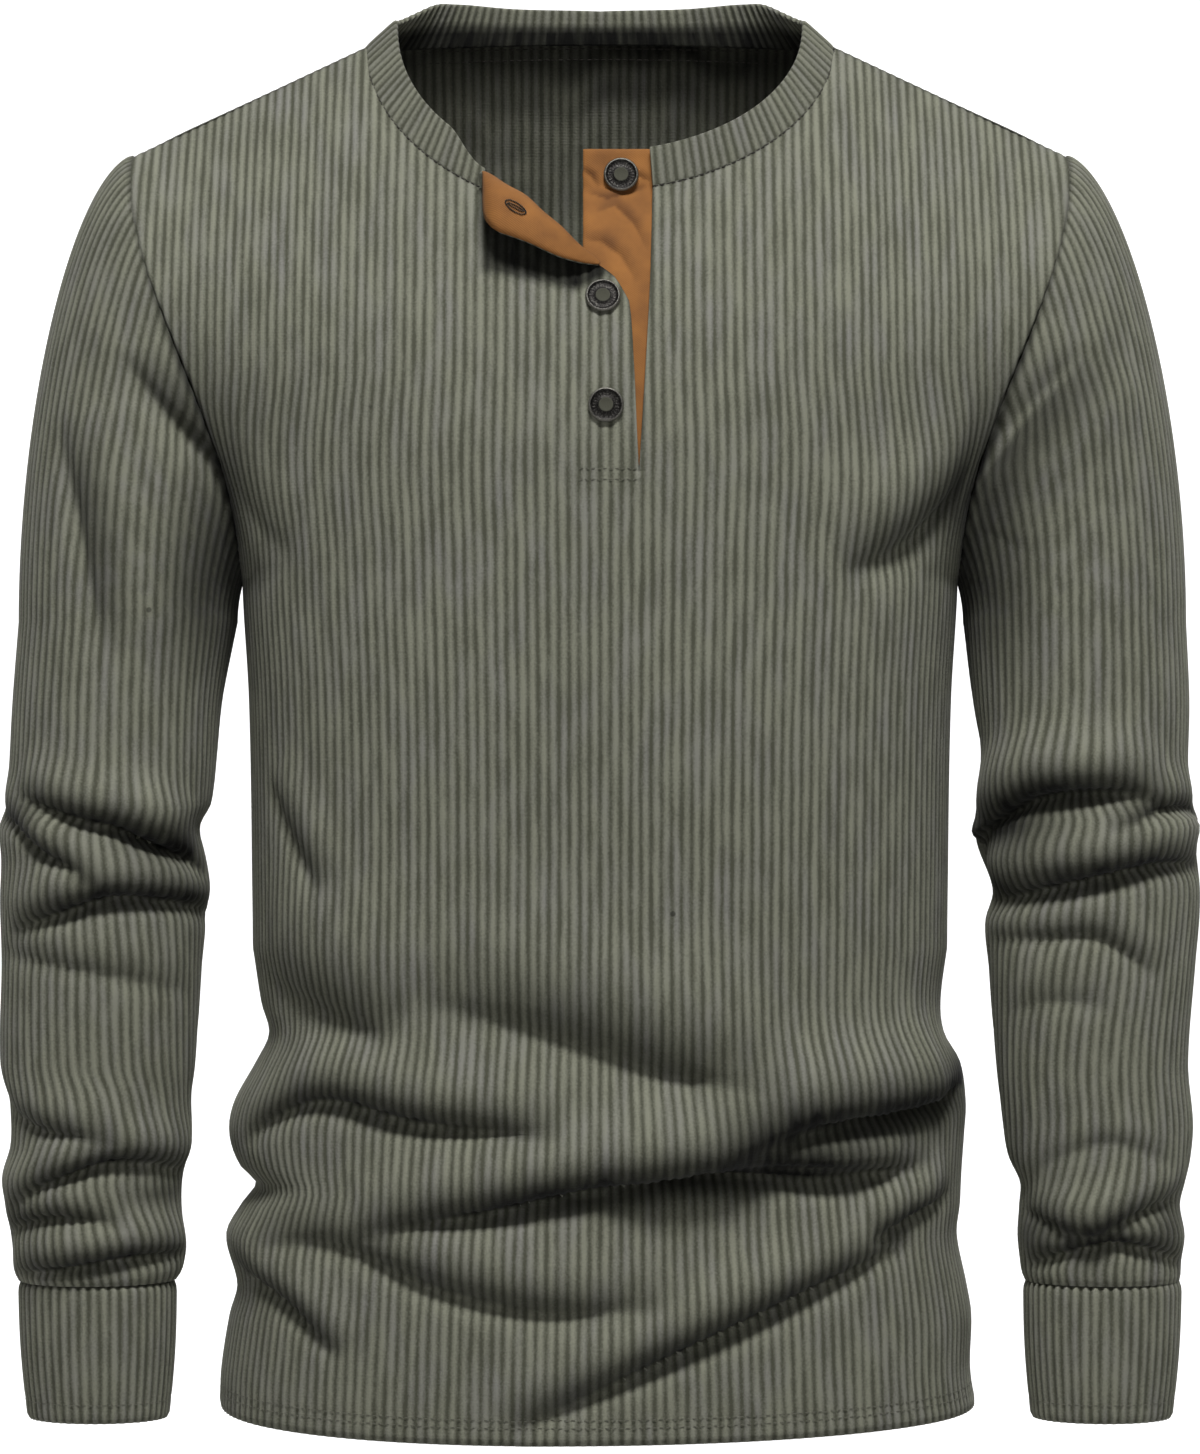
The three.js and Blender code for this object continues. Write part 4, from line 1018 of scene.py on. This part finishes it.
def build_cuff(side, rib_rise):
    """A tube of double cloth, tapering from the sleeve's seam to the wrist, with straight ribs."""
    turn = np.linspace(0, 2 * np.pi, CUFF_RIBS * CUFF_COLUMNS_PER_RIB + 1)
    share = np.linspace(0, 1, CUFF_ROWS + 1)[:, None]
    _, x, y = cuff_oval(side, share, 1.2 * np.sin(np.pi * share), turn)
    points = stacked(x, y, mix(CUFF_TOP - SEAM_GAP / 2, CUFF_END, share))
    points[:, -1] = points[:, 0]
    phase = turn / (2 * np.pi) * CUFF_RIBS
    way = share * (CUFF_TOP - CUFF_END)
    left = way[-1] - way
    coordinates = stacked(phase, way / RIB_PITCH)
    lift = np.cos(2 * np.pi * phase) * rib_rise / 2 + edge_dip(way, 1.2, 2.2) + edge_dip(left, 1.1, 1.4)
    lift = lift + edge_dip(left - CUFF_STITCH, 0.4, STITCH_REACH)
    if side < 0:
        points, lift, coordinates = (values[:, ::-1] for values in (points, lift, coordinates))
    return cloth_wall(points, lift, DOUBLE_CLOTH, coordinates, skip=3, closed=True)


# Neckband


def resample(line, count):
    """A line of points at even distances, and its length up to each of them."""
    lengths = lengths_along(line)
    place = np.linspace(0, lengths[-1], count)
    return interpolated(place, lengths, line), place


def neck_seam():
    """The neck edge of the shirt, from the overlap's corner round the back to the placket."""
    turn = np.linspace(0, np.pi / 2, 120)
    right_x = -mix(-LAPEL_EDGE["x"][0], NECK_SIDE, np.sin(turn))
    back_x = -NECK_SIDE * np.cos(np.linspace(0, np.pi, 200))
    left_x = mix(NECK_SIDE, UNDER_EDGE["x"][-1], 1 - np.cos(turn))
    lines = ((right_x, "front"), (back_x[1:-1], "back"), (left_x, "front"))
    return np.concatenate([body_point(x, neckline(x, face), face) for x, face in lines])


def squared(value):
    """A sine or cosine drawn out so that an oval turns nearly square: its sign x its size to a power."""
    return np.sign(value) * np.abs(value) ** BAND_SQUARENESS


def build_neckband(rib_rise):
    """A closed section of double cloth, a flattened oval, carried round the neck edge. It leans inward,
    most at the neck's sides, and narrows at the overlap's corner."""
    seam = neck_seam()
    total = np.linalg.norm(np.diff(seam, axis=0), axis=-1).sum()
    ribs = round(total / RIB_PITCH)
    foot, place = resample(seam, ribs * BAND_COLUMNS_PER_RIB + 1)
    inward = unit(foot * [-1, -1, 0])
    sideways = np.clip(np.abs(foot[:, 0]) / NECK_SIDE, 0, 1)
    least, more = BAND_LEAN
    lean = np.radians(least + more * sideways**3)[:, None]
    up = inward * np.sin(lean) + np.cos(lean) * np.array([0, 0, 1])
    out = unit(np.cross(up, unit(np.gradient(foot, axis=0))))
    out = out * np.sign(np.sum(out * -inward, axis=-1, keepdims=True))
    phase = (place / total * ribs)[:, None]
    wave = np.cos(2 * np.pi * phase) * rib_rise / 2
    back = smooth(foot[:, 1] / 20 + 1)
    width = mix(BAND_END_WIDTH, BAND_WIDTH, smooth(place / 30))
    width = (width + back * through(BAND_TOP, "sideways", "more")(sideways))[:, None]
    levels = np.array(BAND_LEVELS)
    half_turn = np.arccos(-np.sign(levels) * np.abs(levels) ** (1 / BAND_SQUARENESS))
    section = np.concatenate([half_turn, 2 * np.pi - half_turn[-2::-1]])
    high, thick = squared(-np.cos(section)), squared(np.sin(section))
    centre = foot + up * ((width + BAND_FOOT) / 2) - out * (DOUBLE_CLOTH / 2)
    tall = (width - BAND_FOOT) / 2 * high
    deep = (DOUBLE_CLOTH / 2 + wave) * thick
    points = centre[:, None] + up[:, None] * tall[..., None] + out[:, None] * deep[..., None]
    points[:, -1] = points[:, 0]
    coordinates = stacked(phase, np.linspace(0, 2 * BAND_WIDTH, len(section)) / RIB_PITCH)
    # Painted shade: a little over all the outer face, a dark line at its foot along the seam, and the lower
    # part of its inner face at the back, inside the neck
    outside = 0.1 + 0.8 * smooth((-high - 0.93) / 0.05)
    inside = 0.95 * back[:, None] * smooth((0.25 - high) / 0.4)
    net = Net()
    numbers = net.add_points(points, coordinates, np.where(thick < 0, inside, outside))
    net.add_quads(numbers)
    net.faces.append(numbers[0, :-1][::-1].tolist())
    net.faces.append(numbers[-1, :-1].tolist())
    return net


# Placket


def stand_point(x, z):
    """The placket's under side: behind the front's face, and carried on up along the band."""
    neck = float(neckline(STAND_NECK, "front"))
    depth = smooth_depth(x, np.minimum(z, neck), "front") - np.maximum(z - neck, 0) * STAND_LEAN
    behind = CLOTH + SEAM_GAP + STAND_BEHIND + 2.4 * smooth((z - neck + 20) / 18)
    return stacked(x, behind - depth, z)


def build_stand():
    z = np.linspace(SLIT_END + 3, STAND_TOP, 140)[:, None]
    x, z = np.broadcast_arrays(mix(STAND_LEFT, under_edge(z) + STAND_TUCK, np.linspace(0, 1, 49)), z)
    points = stand_point(x, z)
    held = smooth((STAND_TOP - z) / 8)
    # Painted shade in the stand's folds, fading out towards its top
    shade = np.zeros(x.shape)
    for depth, spread, path in STAND_FOLDS:
        rise, _, dark = one_fold(x, z, depth, spread, *np.array(path, float).T)
        points[..., 1] -= rise * held
        shade = np.maximum(shade, np.minimum(dark * 1.6, 0.8) * held)
    lift = edge_dip(STAND_TOP - z, 0.6, 1.2) + edge_dip(x - STAND_LEFT, 0.6, 1.2)
    return cloth_wall(points, lift, CLOTH, points[..., ::2] / RIB_PITCH, skip=1, shade=shade)


def lapel_surface(rows, columns):
    """The turned-back corner: from the lapel's edge up, forward and down on a cubic curve, smaller and
    smaller towards the lapel's lower end."""
    share = np.linspace(0, LAPEL_END, rows)
    x = mix(LAPEL_EDGE["x"][0] + 0.6, LAPEL_EDGE["x"][3], share)
    root = body_point(x, lapel_edge(x), "front") + [0, -0.5, 0.9]
    corner = np.clip(1 - share * 62 / LAPEL_ROUNDING, 0, 1)
    size = (1 - share**2.3 - 0.35 * (1 - np.sqrt(1 - corner**2)))[:, None]
    perk = ((1 - share) ** 3)[:, None] * [0, 0, 1]
    steps = np.array(LAPEL_CURVE, float)
    corners = [root + step * size + perk * rise for step, rise in zip(steps, LAPEL_PERK)]
    return cubic(np.linspace(0, 1, columns)[:, None], *(place[:, None] for place in corners))


def build_lapel(layer):
    """One of the lapel's two layers: the facing, which shows, or the ribbed cloth under it."""
    points = lapel_surface(*LAPEL_NET)
    along, across = (np.linspace(0, 1, count) for count in LAPEL_NET)
    along = along[:, None]
    lift = edge_dip((1 - across) * 30, 0.5, 1.4) + edge_dip(along * LAPEL_LENGTH, 0.4, 1.4)
    if layer == "cloth":
        points = points - grid_normals(points) * LAPEL_LAYERS["cloth"]
    else:
        lift = lift + 0.35 * np.sin(along * 21) * np.sin(across * 5) * (1 - across**2)
    return cloth_wall(points, lift, LAPEL_LAYERS[layer], points[..., ::2] / RIB_PITCH, skip=1)


# Buttons


def build_button(node):
    """A disc turned about its axis, with a raised rim, a hollow ring and a flat middle. Its place and
    axis are those of the solid."""
    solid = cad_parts[node]
    spots = np.array([tuple(solid.matrix_world @ v.co) for v in solid.data.vertices]) / MM
    centre = spots.mean(axis=0)
    axis = np.linalg.svd(spots - centre)[2][2]
    axis = axis if axis[1] < 0 else -axis
    base = centre + axis * ((spots - centre) @ axis).min()
    radius, height = np.array(BUTTON_PROFILE, float).T[..., None]
    turn = np.linspace(0, 2 * np.pi, BUTTON_COLUMNS + 1)
    right = unit(np.cross([0, 0, 1], axis))
    up = np.cross(axis, right)
    inner, outer = BUTTON_RING
    height = height + np.where((radius > inner) & (radius < outer), NOTCH_DEPTH, 0) * np.cos(NOTCHES * turn)
    spokes = np.cos(turn)[:, None] * right + np.sin(turn)[:, None] * up
    points = base + radius[..., None] * spokes + height[..., None] * axis
    points[:, -1] = points[:, 0]
    net = Net()
    net.add_quads(net.add_points(points, stacked(radius, turn)))
    return net


# Stitches


def stitch_run(net, line, normals, length=2.6, gap=0.8, width=0.45, lift=0.12):
    """Stitches along a line on the cloth: small pods, thickest at the middle, pointed at both ends."""
    way = lengths_along(line)
    count = int(way[-1] // (length + gap))
    if count < 1:
        return
    middle = (np.arange(count) + 0.5) * way[-1] / count
    normal = unit(interpolated(middle, way, normals))
    start, end = (interpolated(middle + half, way, line) for half in (-length / 2, length / 2))
    along = end - start
    side = unit(np.cross(normal, along))
    stations = np.array([0, 0.18, 0.5, 0.82, 1])
    size = np.array([0, 0.85, 1, 0.85, 0]) * width / 2
    turn = np.linspace(0, 2 * np.pi, 7)[:, None, None]
    ring = np.moveaxis(np.cos(turn) * normal + np.sin(turn) * side, 0, 1)
    rise = (lift + 0.1 * np.sin(np.pi * stations))[:, None]
    for i in range(count):
        spine = start[i] + along[i] * stations[:, None] + normal[i] * rise
        points = spine[:, None] + ring[i][None] * size[:, None, None]
        points[:, -1] = points[:, 0]
        net.add_quads(net.add_points(points, np.zeros(2)), inward=True)


def stitch_body(net, face, across, level, **sizes):
    """Stitches across the front or back at a level, on its outer face."""
    rows = level + np.array([-1, 0, 1])[:, None] + 0 * across
    points = body_point(place_across(across, rows, face), rows, face)
    stitch_run(net, points[1], grid_normals(points)[1], **sizes)


def build_stitches():
    """Hem, cuff and placket stitches, each line laid on the cloth's own outer face."""
    net = Net()
    for face, way in (("front", 1), ("back", -1)):
        across = np.linspace(-0.995, 0.995, 500) * way
        for height in HEM_STITCHES:
            stitch_body(net, face, across, hem_line(across, face) + height)
    bottom = np.linspace(-0.062, SLIT_ACROSS - 0.002, 80)
    for height in SLIT_STITCHES:
        stitch_body(net, "front", bottom, SLIT_END + height, length=2.2, lift=0.4)
    share = 1 - CUFF_STITCH / (CUFF_TOP - CUFF_END)
    for side in (-1, 1):
        middle, x, y = cuff_oval(side, share, 0.6, np.linspace(0, 2 * np.pi, 300))
        line = stacked(x, y, CUFF_END + CUFF_STITCH)
        stitch_run(net, line, unit(line - [middle, CUFF_MIDDLE, CUFF_END + CUFF_STITCH]), lift=0.1)
    return net


def build_dark_stitches():
    """The neck seam's stitches, outside and inside, and the buttonhole worked on the turned-back corner."""
    net = Net()
    foot, _ = resample(neck_seam(), 400)
    stitch_run(net, foot - [0, 0, 0.8], unit(foot * [1, 1, 0]), length=2.4, gap=0.7, width=0.8, lift=0.35)
    x = np.linspace(-0.9, 0.9, 200) * NECK_SIDE
    forward = np.tile([0.0, -1.0, 0.0], (len(x), 1))
    for below in NECK_STITCHES:
        inside = body_point(x, neckline(x, "back") - below, "back") - [0, CLOTH, 0]
        stitch_run(net, inside, forward, length=3.4, gap=0.4, width=1.0, lift=0.3)
    flap = lapel_surface(*BUTTONHOLE_NET)
    facing = grid_normals(flap)
    turn = np.linspace(0, 2 * np.pi, 61)
    row, column = BUTTONHOLE
    for long, wide in BUTTONHOLE_RINGS:
        ring = (row + long * np.cos(turn), column + wide * np.sin(turn))
        spot = tuple(np.round(place).astype(int) for place in ring)
        stitch_run(net, flap[spot], facing[spot], length=0.8, gap=0.1, width=1.0, lift=0.4)
    return net


# Materials


def linear(colour):
    """Display values from 0 to 255 as linear light."""
    share = np.array(colour, float) / 255
    low = share / 12.92
    high = ((share + 0.055) / 1.055) ** 2.4
    return (*np.where(share <= 0.04045, low, high), 1.0)


class Field:
    """A value that varies over a surface. It wraps a node's socket, so that sums read as written."""

    def __init__(self, tree, socket):
        self.tree = tree
        self.socket = socket

    def make(self, kind, inputs=(), output=0, **settings):
        """Another node, with its settings, and with its inputs linked or set by name or number."""
        node = self.tree.nodes.new(kind)
        for name, value in settings.items():
            setattr(node, name, value)
        for name, value in dict(inputs).items():
            if isinstance(value, Field):
                self.tree.links.new(value.socket, node.inputs[name])
            else:
                node.inputs[name].default_value = value
        return Field(self.tree, node.outputs[output])

    def math(self, operation, *others):
        return self.make("ShaderNodeMath", dict(enumerate((self, *others))), operation=operation)

    def __add__(self, other):
        return self.math("ADD", other)

    __radd__ = __add__

    def __mul__(self, other):
        return self.math("MULTIPLY", other)

    __rmul__ = __mul__

    def __sub__(self, other):
        return self.math("SUBTRACT", other)

    def __rsub__(self, other):
        return (self * -1.0) + other

    def __pow__(self, other):
        return self.math("POWER", other)

    def cosine(self):
        return self.math("COSINE")

    def limited(self):
        return self.math("MAXIMUM", 0.0).math("MINIMUM", 1.0)

    def blend(self, low, high):
        """A colour between two others, by this share."""
        return self.make("ShaderNodeMix", {"Factor": self, 6: low, 7: high}, output=2, data_type="RGBA")

    def noise(self, scale=1.0, detail=2.0):
        """Cloudy noise from 0 to 1 at this place."""
        return self.make("ShaderNodeTexNoise", {"Vector": self, "Scale": scale, "Detail": detail})

    def stretched(self, factors):
        """This place with each coordinate multiplied."""
        return self.make("ShaderNodeVectorMath", {0: self, 1: factors}, operation="MULTIPLY")

    def part(self, number):
        """One coordinate of this place."""
        return self.make("ShaderNodeSeparateXYZ", {0: self}, output=number)

    def into(self, shader, socket):
        self.tree.links.new(self.socket, shader.inputs[socket])


def new_material(name, roughness, metallic=0.0, sheen=0.0):
    """A plain surface, its shader and the place that its patterns read."""
    material = bpy.data.materials.new(name)
    material.use_nodes = True
    tree = material.node_tree
    shader = tree.nodes["Principled BSDF"]
    shader.inputs["Roughness"].default_value = roughness
    shader.inputs["Metallic"].default_value = metallic
    shader.inputs["Sheen Weight"].default_value = sheen
    shader.inputs["Sheen Roughness"].default_value = 0.5
    return material, shader, Field(tree, tree.nodes.new("ShaderNodeTexCoord").outputs["Object"])


def shade_of(place):
    """The painted shade of a place, from its own attribute: how dark its folds, hollows, seams and shadows
    are painted.
    """
    return place.make("ShaderNodeAttribute", output="Fac", attribute_name="shade")


def rib_coordinates(place):
    """The piece's own coordinates: ribs across the cloth, and the way down in rib pitches."""
    return place.make("ShaderNodeUVMap", uv_map="rib")


def finish_material(shader, place, colour, height=None, bump=0.3, distance=0.0002):
    colour.into(shader, "Base Color")
    if height is not None:
        relief = place.make("ShaderNodeBump", {"Strength": bump, "Distance": distance, "Height": height})
        relief.into(shader, "Normal")


def specks(place):
    """Few small dark specks: the middles of the Voronoi cells whose own random colour is high."""
    cell = {"Vector": place, "Scale": SPECK_SCALE}
    chosen = place.make("ShaderNodeTexVoronoi", cell, output="Color").part(0) - SPECK_RARITY
    distance = place.make("ShaderNodeTexVoronoi", cell, output="Distance")
    return (chosen * 200.0).limited() * ((SPECK_RADIUS - distance) * 60.0).limited()


def knit_material(name, rib, groove):
    """Ribbed knit: light ribs, dark grooves, stitches as a fine relief, uneven dye, pilling, specks and
    painted shade.
    """
    _, shader, place = new_material(name, roughness=0.95, sheen=0.08)
    shader.inputs["Specular IOR Level"].default_value = 0.18
    ribs = rib_coordinates(place)
    across, down = ribs.part(0), ribs.part(1)
    wobble = ribs.stretched(WOBBLE_STRETCH).noise()
    streak = ribs.stretched(STREAK_STRETCH).noise(detail=3.0)
    tone = ribs.stretched(TONE_STRETCH).noise(detail=3.0)
    mottle = place.noise(26.0, 4.0)
    fuzz = place.noise(900.0, 3.0)
    wave = ((across + (wobble - 0.5) * 0.22) * (2 * math.pi)).cosine()
    crest = (wave * RIB_SIGN[name] * 0.5 + 0.5) ** 0.8
    share = (crest * 0.95 + fuzz - 0.5 + (streak - 0.5) * 1.15 + (mottle - 0.5) * 0.35).limited()
    # Painted shade from the shade attribute (folds, hollows, seams, underarm, neck inside, the turned-back
    # corner's shadow), mottled by the streaks; the real dark specks go on top of it
    dark = (shade_of(place) ** 0.85 * (streak * 0.7 + mottle * 0.5 + PAINTED_SHADE_STRENGTH - 0.6)).limited()
    dark = dark.math("MAXIMUM", specks(place) * 0.6)
    worn = ((tone - 0.44) * 2.6).limited().blend(rib, linear(RIB_GREY))
    colour = dark.blend(share.blend(groove, worn), linear(PAINTED_SHADE_AND_SPECK_COLOUR))
    loops = [(along * (2 * math.pi * count)).cosine() * 0.1
             for along, count in ((down, STITCHES_DOWN), (across, STITCHES_ACROSS))]
    finish_material(shader, place, colour, loops[0] + loops[1] + fuzz * 1.2, bump=0.5, distance=0.0003)


def facing_material(name, cotton):
    """Smooth orange-brown cotton: faint diagonal twill, cloudy uneven tone, and painted shade in the stand's
    folds.
    """
    _, shader, place = new_material(name, roughness=0.85, sheen=0.04)
    weave = place.make("ShaderNodeTexWave", {"Vector": place, "Scale": 420.0, "Distortion": 1.5},
                       output=1, bands_direction="DIAGONAL")
    share = (place.noise(60.0, 3.0) * 1.1 + (weave - 0.5) * 0.15 - shade_of(place)).limited()
    finish_material(shader, place, share.blend(linear(FACING_SHADE), cotton), weave, bump=0.25)


def metal_material(name, metal):
    """Dark bronze, worn bright where it stands up, grainy in its hollow ring."""
    _, shader, place = new_material(name, roughness=0.42, metallic=0.85)
    radius = rib_coordinates(place).part(0)
    grain = place.noise(1400.0)
    rim = ((radius - (BUTTON_RADIUS - 1.2)) * 1.6).limited()
    share = (rim * 0.8 + (grain - 0.5) * 1.2).limited()
    middle = ((3.9 - radius) * 2.0).limited()
    colour = middle.blend(share.blend(linear(METAL_DARK), metal), linear(BUTTON_MIDDLE))
    ((1.0 - middle) * 0.85).into(shader, "Metallic")
    (middle * 0.4 + 0.48).into(shader, "Roughness")
    finish_material(shader, place, colour, grain, bump=0.5)


def thread_material(name, colour):
    _, shader, place = new_material(name, roughness=0.8, sheen=0.1)
    grain = place.noise(800.0)
    finish_material(shader, place, grain.blend(linear(np.array(colour) * 0.8), linear(colour)))


def materials(settings):
    """The shirt's materials, made once, in the colours that are set."""
    if "knit_body" not in bpy.data.materials:
        rib, groove, cotton, metal = (linear(np.array(colour) * 255) for colour in (
            settings.rib_colour, settings.groove_colour, settings.facing_colour, settings.metal_colour))
        for name in RIB_SIGN:
            knit_material(name, rib, groove)
        facing_material("facing_cotton", cotton)
        metal_material("button_bronze", metal)
        thread_material("thread", THREAD_COLOUR)
        thread_material("thread_dark", NECK_THREAD_COLOUR)
    return bpy.data.materials


# Pieces on the frame


def make_object(name, mesh, material):
    thing = bpy.data.objects.new(name, mesh)
    bpy.context.scene.collection.objects.link(thing)
    mesh.materials.append(material)
    return thing


def place_piece(net, name, node, material):
    """A piece on the body, in the place of its solid where it has one, whose solid is then hidden."""
    thing = make_object(name, net.mesh(name), materials(bpy.context.scene.shirt)[material])
    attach(thing, "root")
    if node:
        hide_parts(node)


def colour_property(name, description, colour):
    """A colour that a user can change, from display values from 0 to 255."""
    return bpy.props.FloatVectorProperty(
        name=name, description=description, default=[value / 255 for value in colour], size=3, min=0, max=1,
        subtype="COLOR_GAMMA")


class ShirtSettings(bpy.types.PropertyGroup):
    """What the shirt is made to."""

    rib_rise: bpy.props.FloatProperty(
        name="Rib height", description="How far the ribs stand above their grooves", default=0.8 * MM,
        min=0, unit="LENGTH")
    rib_colour: colour_property("Ribs", "Colour of the knit on its ribs", RIB_COLOUR)
    groove_colour: colour_property("Grooves", "Colour of the knit between its ribs", GROOVE_COLOUR)
    facing_colour: colour_property("Facing", "Colour of the placket's cotton", FACING_COLOUR)
    metal_colour: colour_property("Buttons", "Colour of the buttons' worn metal", METAL_COLOUR)
    light_power: bpy.props.FloatProperty(
        name="Light", description="Strength of the studio's lights as a share of the usual", default=1.0,
        min=0, subtype="FACTOR")


def rib_height(context):
    return context.scene.shirt.rib_rise / MM


class SHIRT_OT_body(bpy.types.Operator):
    """Make the front with its slit, and the back"""

    bl_idname = "shirt.body"
    bl_label = "Body"

    def execute(self, context):
        for face, build in (("front", build_front), ("back", build_back)):
            place_piece(build(rib_height(context)), f"{face}_knit", face, "knit_body")
        return {"FINISHED"}


class SHIRT_OT_sleeves(bpy.types.Operator):
    """Make the two sleeves with their folds"""

    bl_idname = "shirt.sleeves"
    bl_label = "Sleeves"

    def execute(self, context):
        for name, *shape in SLEEVES:
            net = build_sleeve(*shape, rib_height(context))
            place_piece(net, f"sleeve_{name}_knit", f"sleeve_{name}", "knit_sleeve")
        return {"FINISHED"}


class SHIRT_OT_cuffs(bpy.types.Operator):
    """Make the two ribbed cuffs"""

    bl_idname = "shirt.cuffs"
    bl_label = "Cuffs"

    def execute(self, context):
        for name, side, *_ in SLEEVES:
            net = build_cuff(side, rib_height(context))
            place_piece(net, f"cuff_{name}_knit", f"cuff_{name}", "knit_sleeve")
        return {"FINISHED"}


class SHIRT_OT_neckband(bpy.types.Operator):
    """Make the ribbed neckband"""

    bl_idname = "shirt.neckband"
    bl_label = "Neckband"

    def execute(self, context):
        net = build_neckband(rib_height(context))
        place_piece(net, "neckband_knit", "neckband", "knit_sleeve")
        return {"FINISHED"}


class SHIRT_OT_placket(bpy.types.Operator):
    """Make the placket's stand and its turned-back corner"""

    bl_idname = "shirt.placket"
    bl_label = "Placket"

    def execute(self, context):
        facing, cloth = build_lapel("facing"), build_lapel("cloth")
        place_piece(build_stand(), "placket_stand_cloth", "placket_stand", "facing_cotton")
        place_piece(facing, "lapel_facing", "placket_facing", "facing_cotton")
        place_piece(cloth, "lapel_cloth", None, "knit_sleeve")
        return {"FINISHED"}


class SHIRT_OT_buttons(bpy.types.Operator):
    """Make the three metal buttons"""

    bl_idname = "shirt.buttons"
    bl_label = "Buttons"

    def execute(self, context):
        for node in ("button_top", "button_middle", "button_bottom"):
            place_piece(build_button(node), f"{node}_metal", node, "button_bronze")
        return {"FINISHED"}


class SHIRT_OT_stitches(bpy.types.Operator):
    """Make the stitches of the hem, the cuffs, the neck and the placket"""

    bl_idname = "shirt.stitches"
    bl_label = "Stitches"

    def execute(self, context):
        place_piece(build_stitches(), "stitches", None, "thread")
        place_piece(build_dark_stitches(), "dark_stitches", None, "thread_dark")
        return {"FINISHED"}


class SHIRT_OT_stage(bpy.types.Operator):
    """Make the floor and backdrop, the lights and the camera"""

    bl_idname = "shirt.stage"
    bl_label = "Stage"

    def execute(self, context):
        build_floor()
        add_lights(context.scene, context.scene.shirt.light_power)
        add_camera(context.scene)
        return {"FINISHED"}


# Stage


def build_floor():
    """A pale floor that curves up into a backdrop and glows behind the shirt."""
    turn = np.linspace(0, math.pi / 2, 13)[1:]
    y = [FLOOR_FRONT, BACKDROP, *(BACKDROP + BACKDROP_BEND * np.sin(turn)), BACKDROP + BACKDROP_BEND]
    z = [FLOOR, FLOOR, *(FLOOR + BACKDROP_BEND * (1 - np.cos(turn))), BACKDROP_TOP]
    net = Net()
    points = stacked(FLOOR_SIDES, *(np.array(side)[:, None] for side in (y, z))) / MM
    net.add_quads(net.add_points(points, np.zeros(2)))
    material, shader, place = new_material("pale_floor", roughness=0.9)
    shader.inputs["Base Color"].default_value = (0.5, 0.5, 0.5, 1)
    shader.inputs["Emission Strength"].default_value = 1.0
    glow = ((place.part(1) - GLOW_START) * (1 / GLOW_REACH)).limited()
    glow.blend((0, 0, 0, 1), (1, 1, 1, 1)).into(shader, "Emission Color")
    make_object("floor", net.mesh("floor"), material)


def add_lights(scene, power):
    """Soft lights above, before and behind the shirt, and a faint light all round."""
    for name, place, target, size, watts in LIGHTS:
        data = bpy.data.lights.new(name, "AREA")
        data.shape = "RECTANGLE"
        data.size, data.size_y = size
        data.energy = watts * power
        light = bpy.data.objects.new(name, data)
        light.location = place
        light.rotation_euler = (Vector(target) - Vector(place)).to_track_quat("-Z", "Y").to_euler()
        scene.collection.objects.link(light)
    world = bpy.data.worlds.new("studio")
    world.use_nodes = True
    background = world.node_tree.nodes["Background"]
    background.inputs["Color"].default_value = (1, 1, 1, 1)
    background.inputs["Strength"].default_value = WORLD_LIGHT * power
    scene.world = world
    scene.view_settings.view_transform = "Standard"


def add_camera(scene):
    data = bpy.data.cameras.new("camera")
    data.lens = CAMERA_LENS
    data.sensor_fit = "VERTICAL"
    data.sensor_height = CAMERA_SENSOR
    camera = bpy.data.objects.new("camera", data)
    camera.location = CAMERA_PLACE
    camera.rotation_euler = (math.pi / 2, 0, 0)
    scene.collection.objects.link(camera)
    scene.camera = camera


class SHIRT_PT_panel(bpy.types.Panel):
    """The shirt's settings and its pieces"""

    bl_idname = "SHIRT_PT_panel"
    bl_label = "Henley shirt"
    bl_space_type = "VIEW_3D"
    bl_region_type = "UI"
    bl_category = "Shirt"

    def draw(self, context):
        for name in ShirtSettings.__annotations__:
            self.layout.prop(context.scene.shirt, name)
        for operator in OPERATORS:
            self.layout.operator(operator.bl_idname)


OPERATORS = (SHIRT_OT_body, SHIRT_OT_sleeves, SHIRT_OT_cuffs, SHIRT_OT_neckband, SHIRT_OT_placket,
             SHIRT_OT_buttons, SHIRT_OT_stitches, SHIRT_OT_stage)
CLASSES = (ShirtSettings, *OPERATORS, SHIRT_PT_panel)


def register():
    for item in CLASSES:
        bpy.utils.register_class(item)
    bpy.types.Scene.shirt = bpy.props.PointerProperty(type=ShirtSettings)


def unregister():
    del bpy.types.Scene.shirt
    for item in reversed(CLASSES):
        bpy.utils.unregister_class(item)


def main():
    """Makes every piece in order."""
    register()
    bpy.ops.shirt.body()
    bpy.ops.shirt.sleeves()
    bpy.ops.shirt.cuffs()
    bpy.ops.shirt.neckband()
    bpy.ops.shirt.placket()
    bpy.ops.shirt.buttons()
    bpy.ops.shirt.stitches()
    bpy.ops.shirt.stage()


if __name__ == "__main__":
    main()
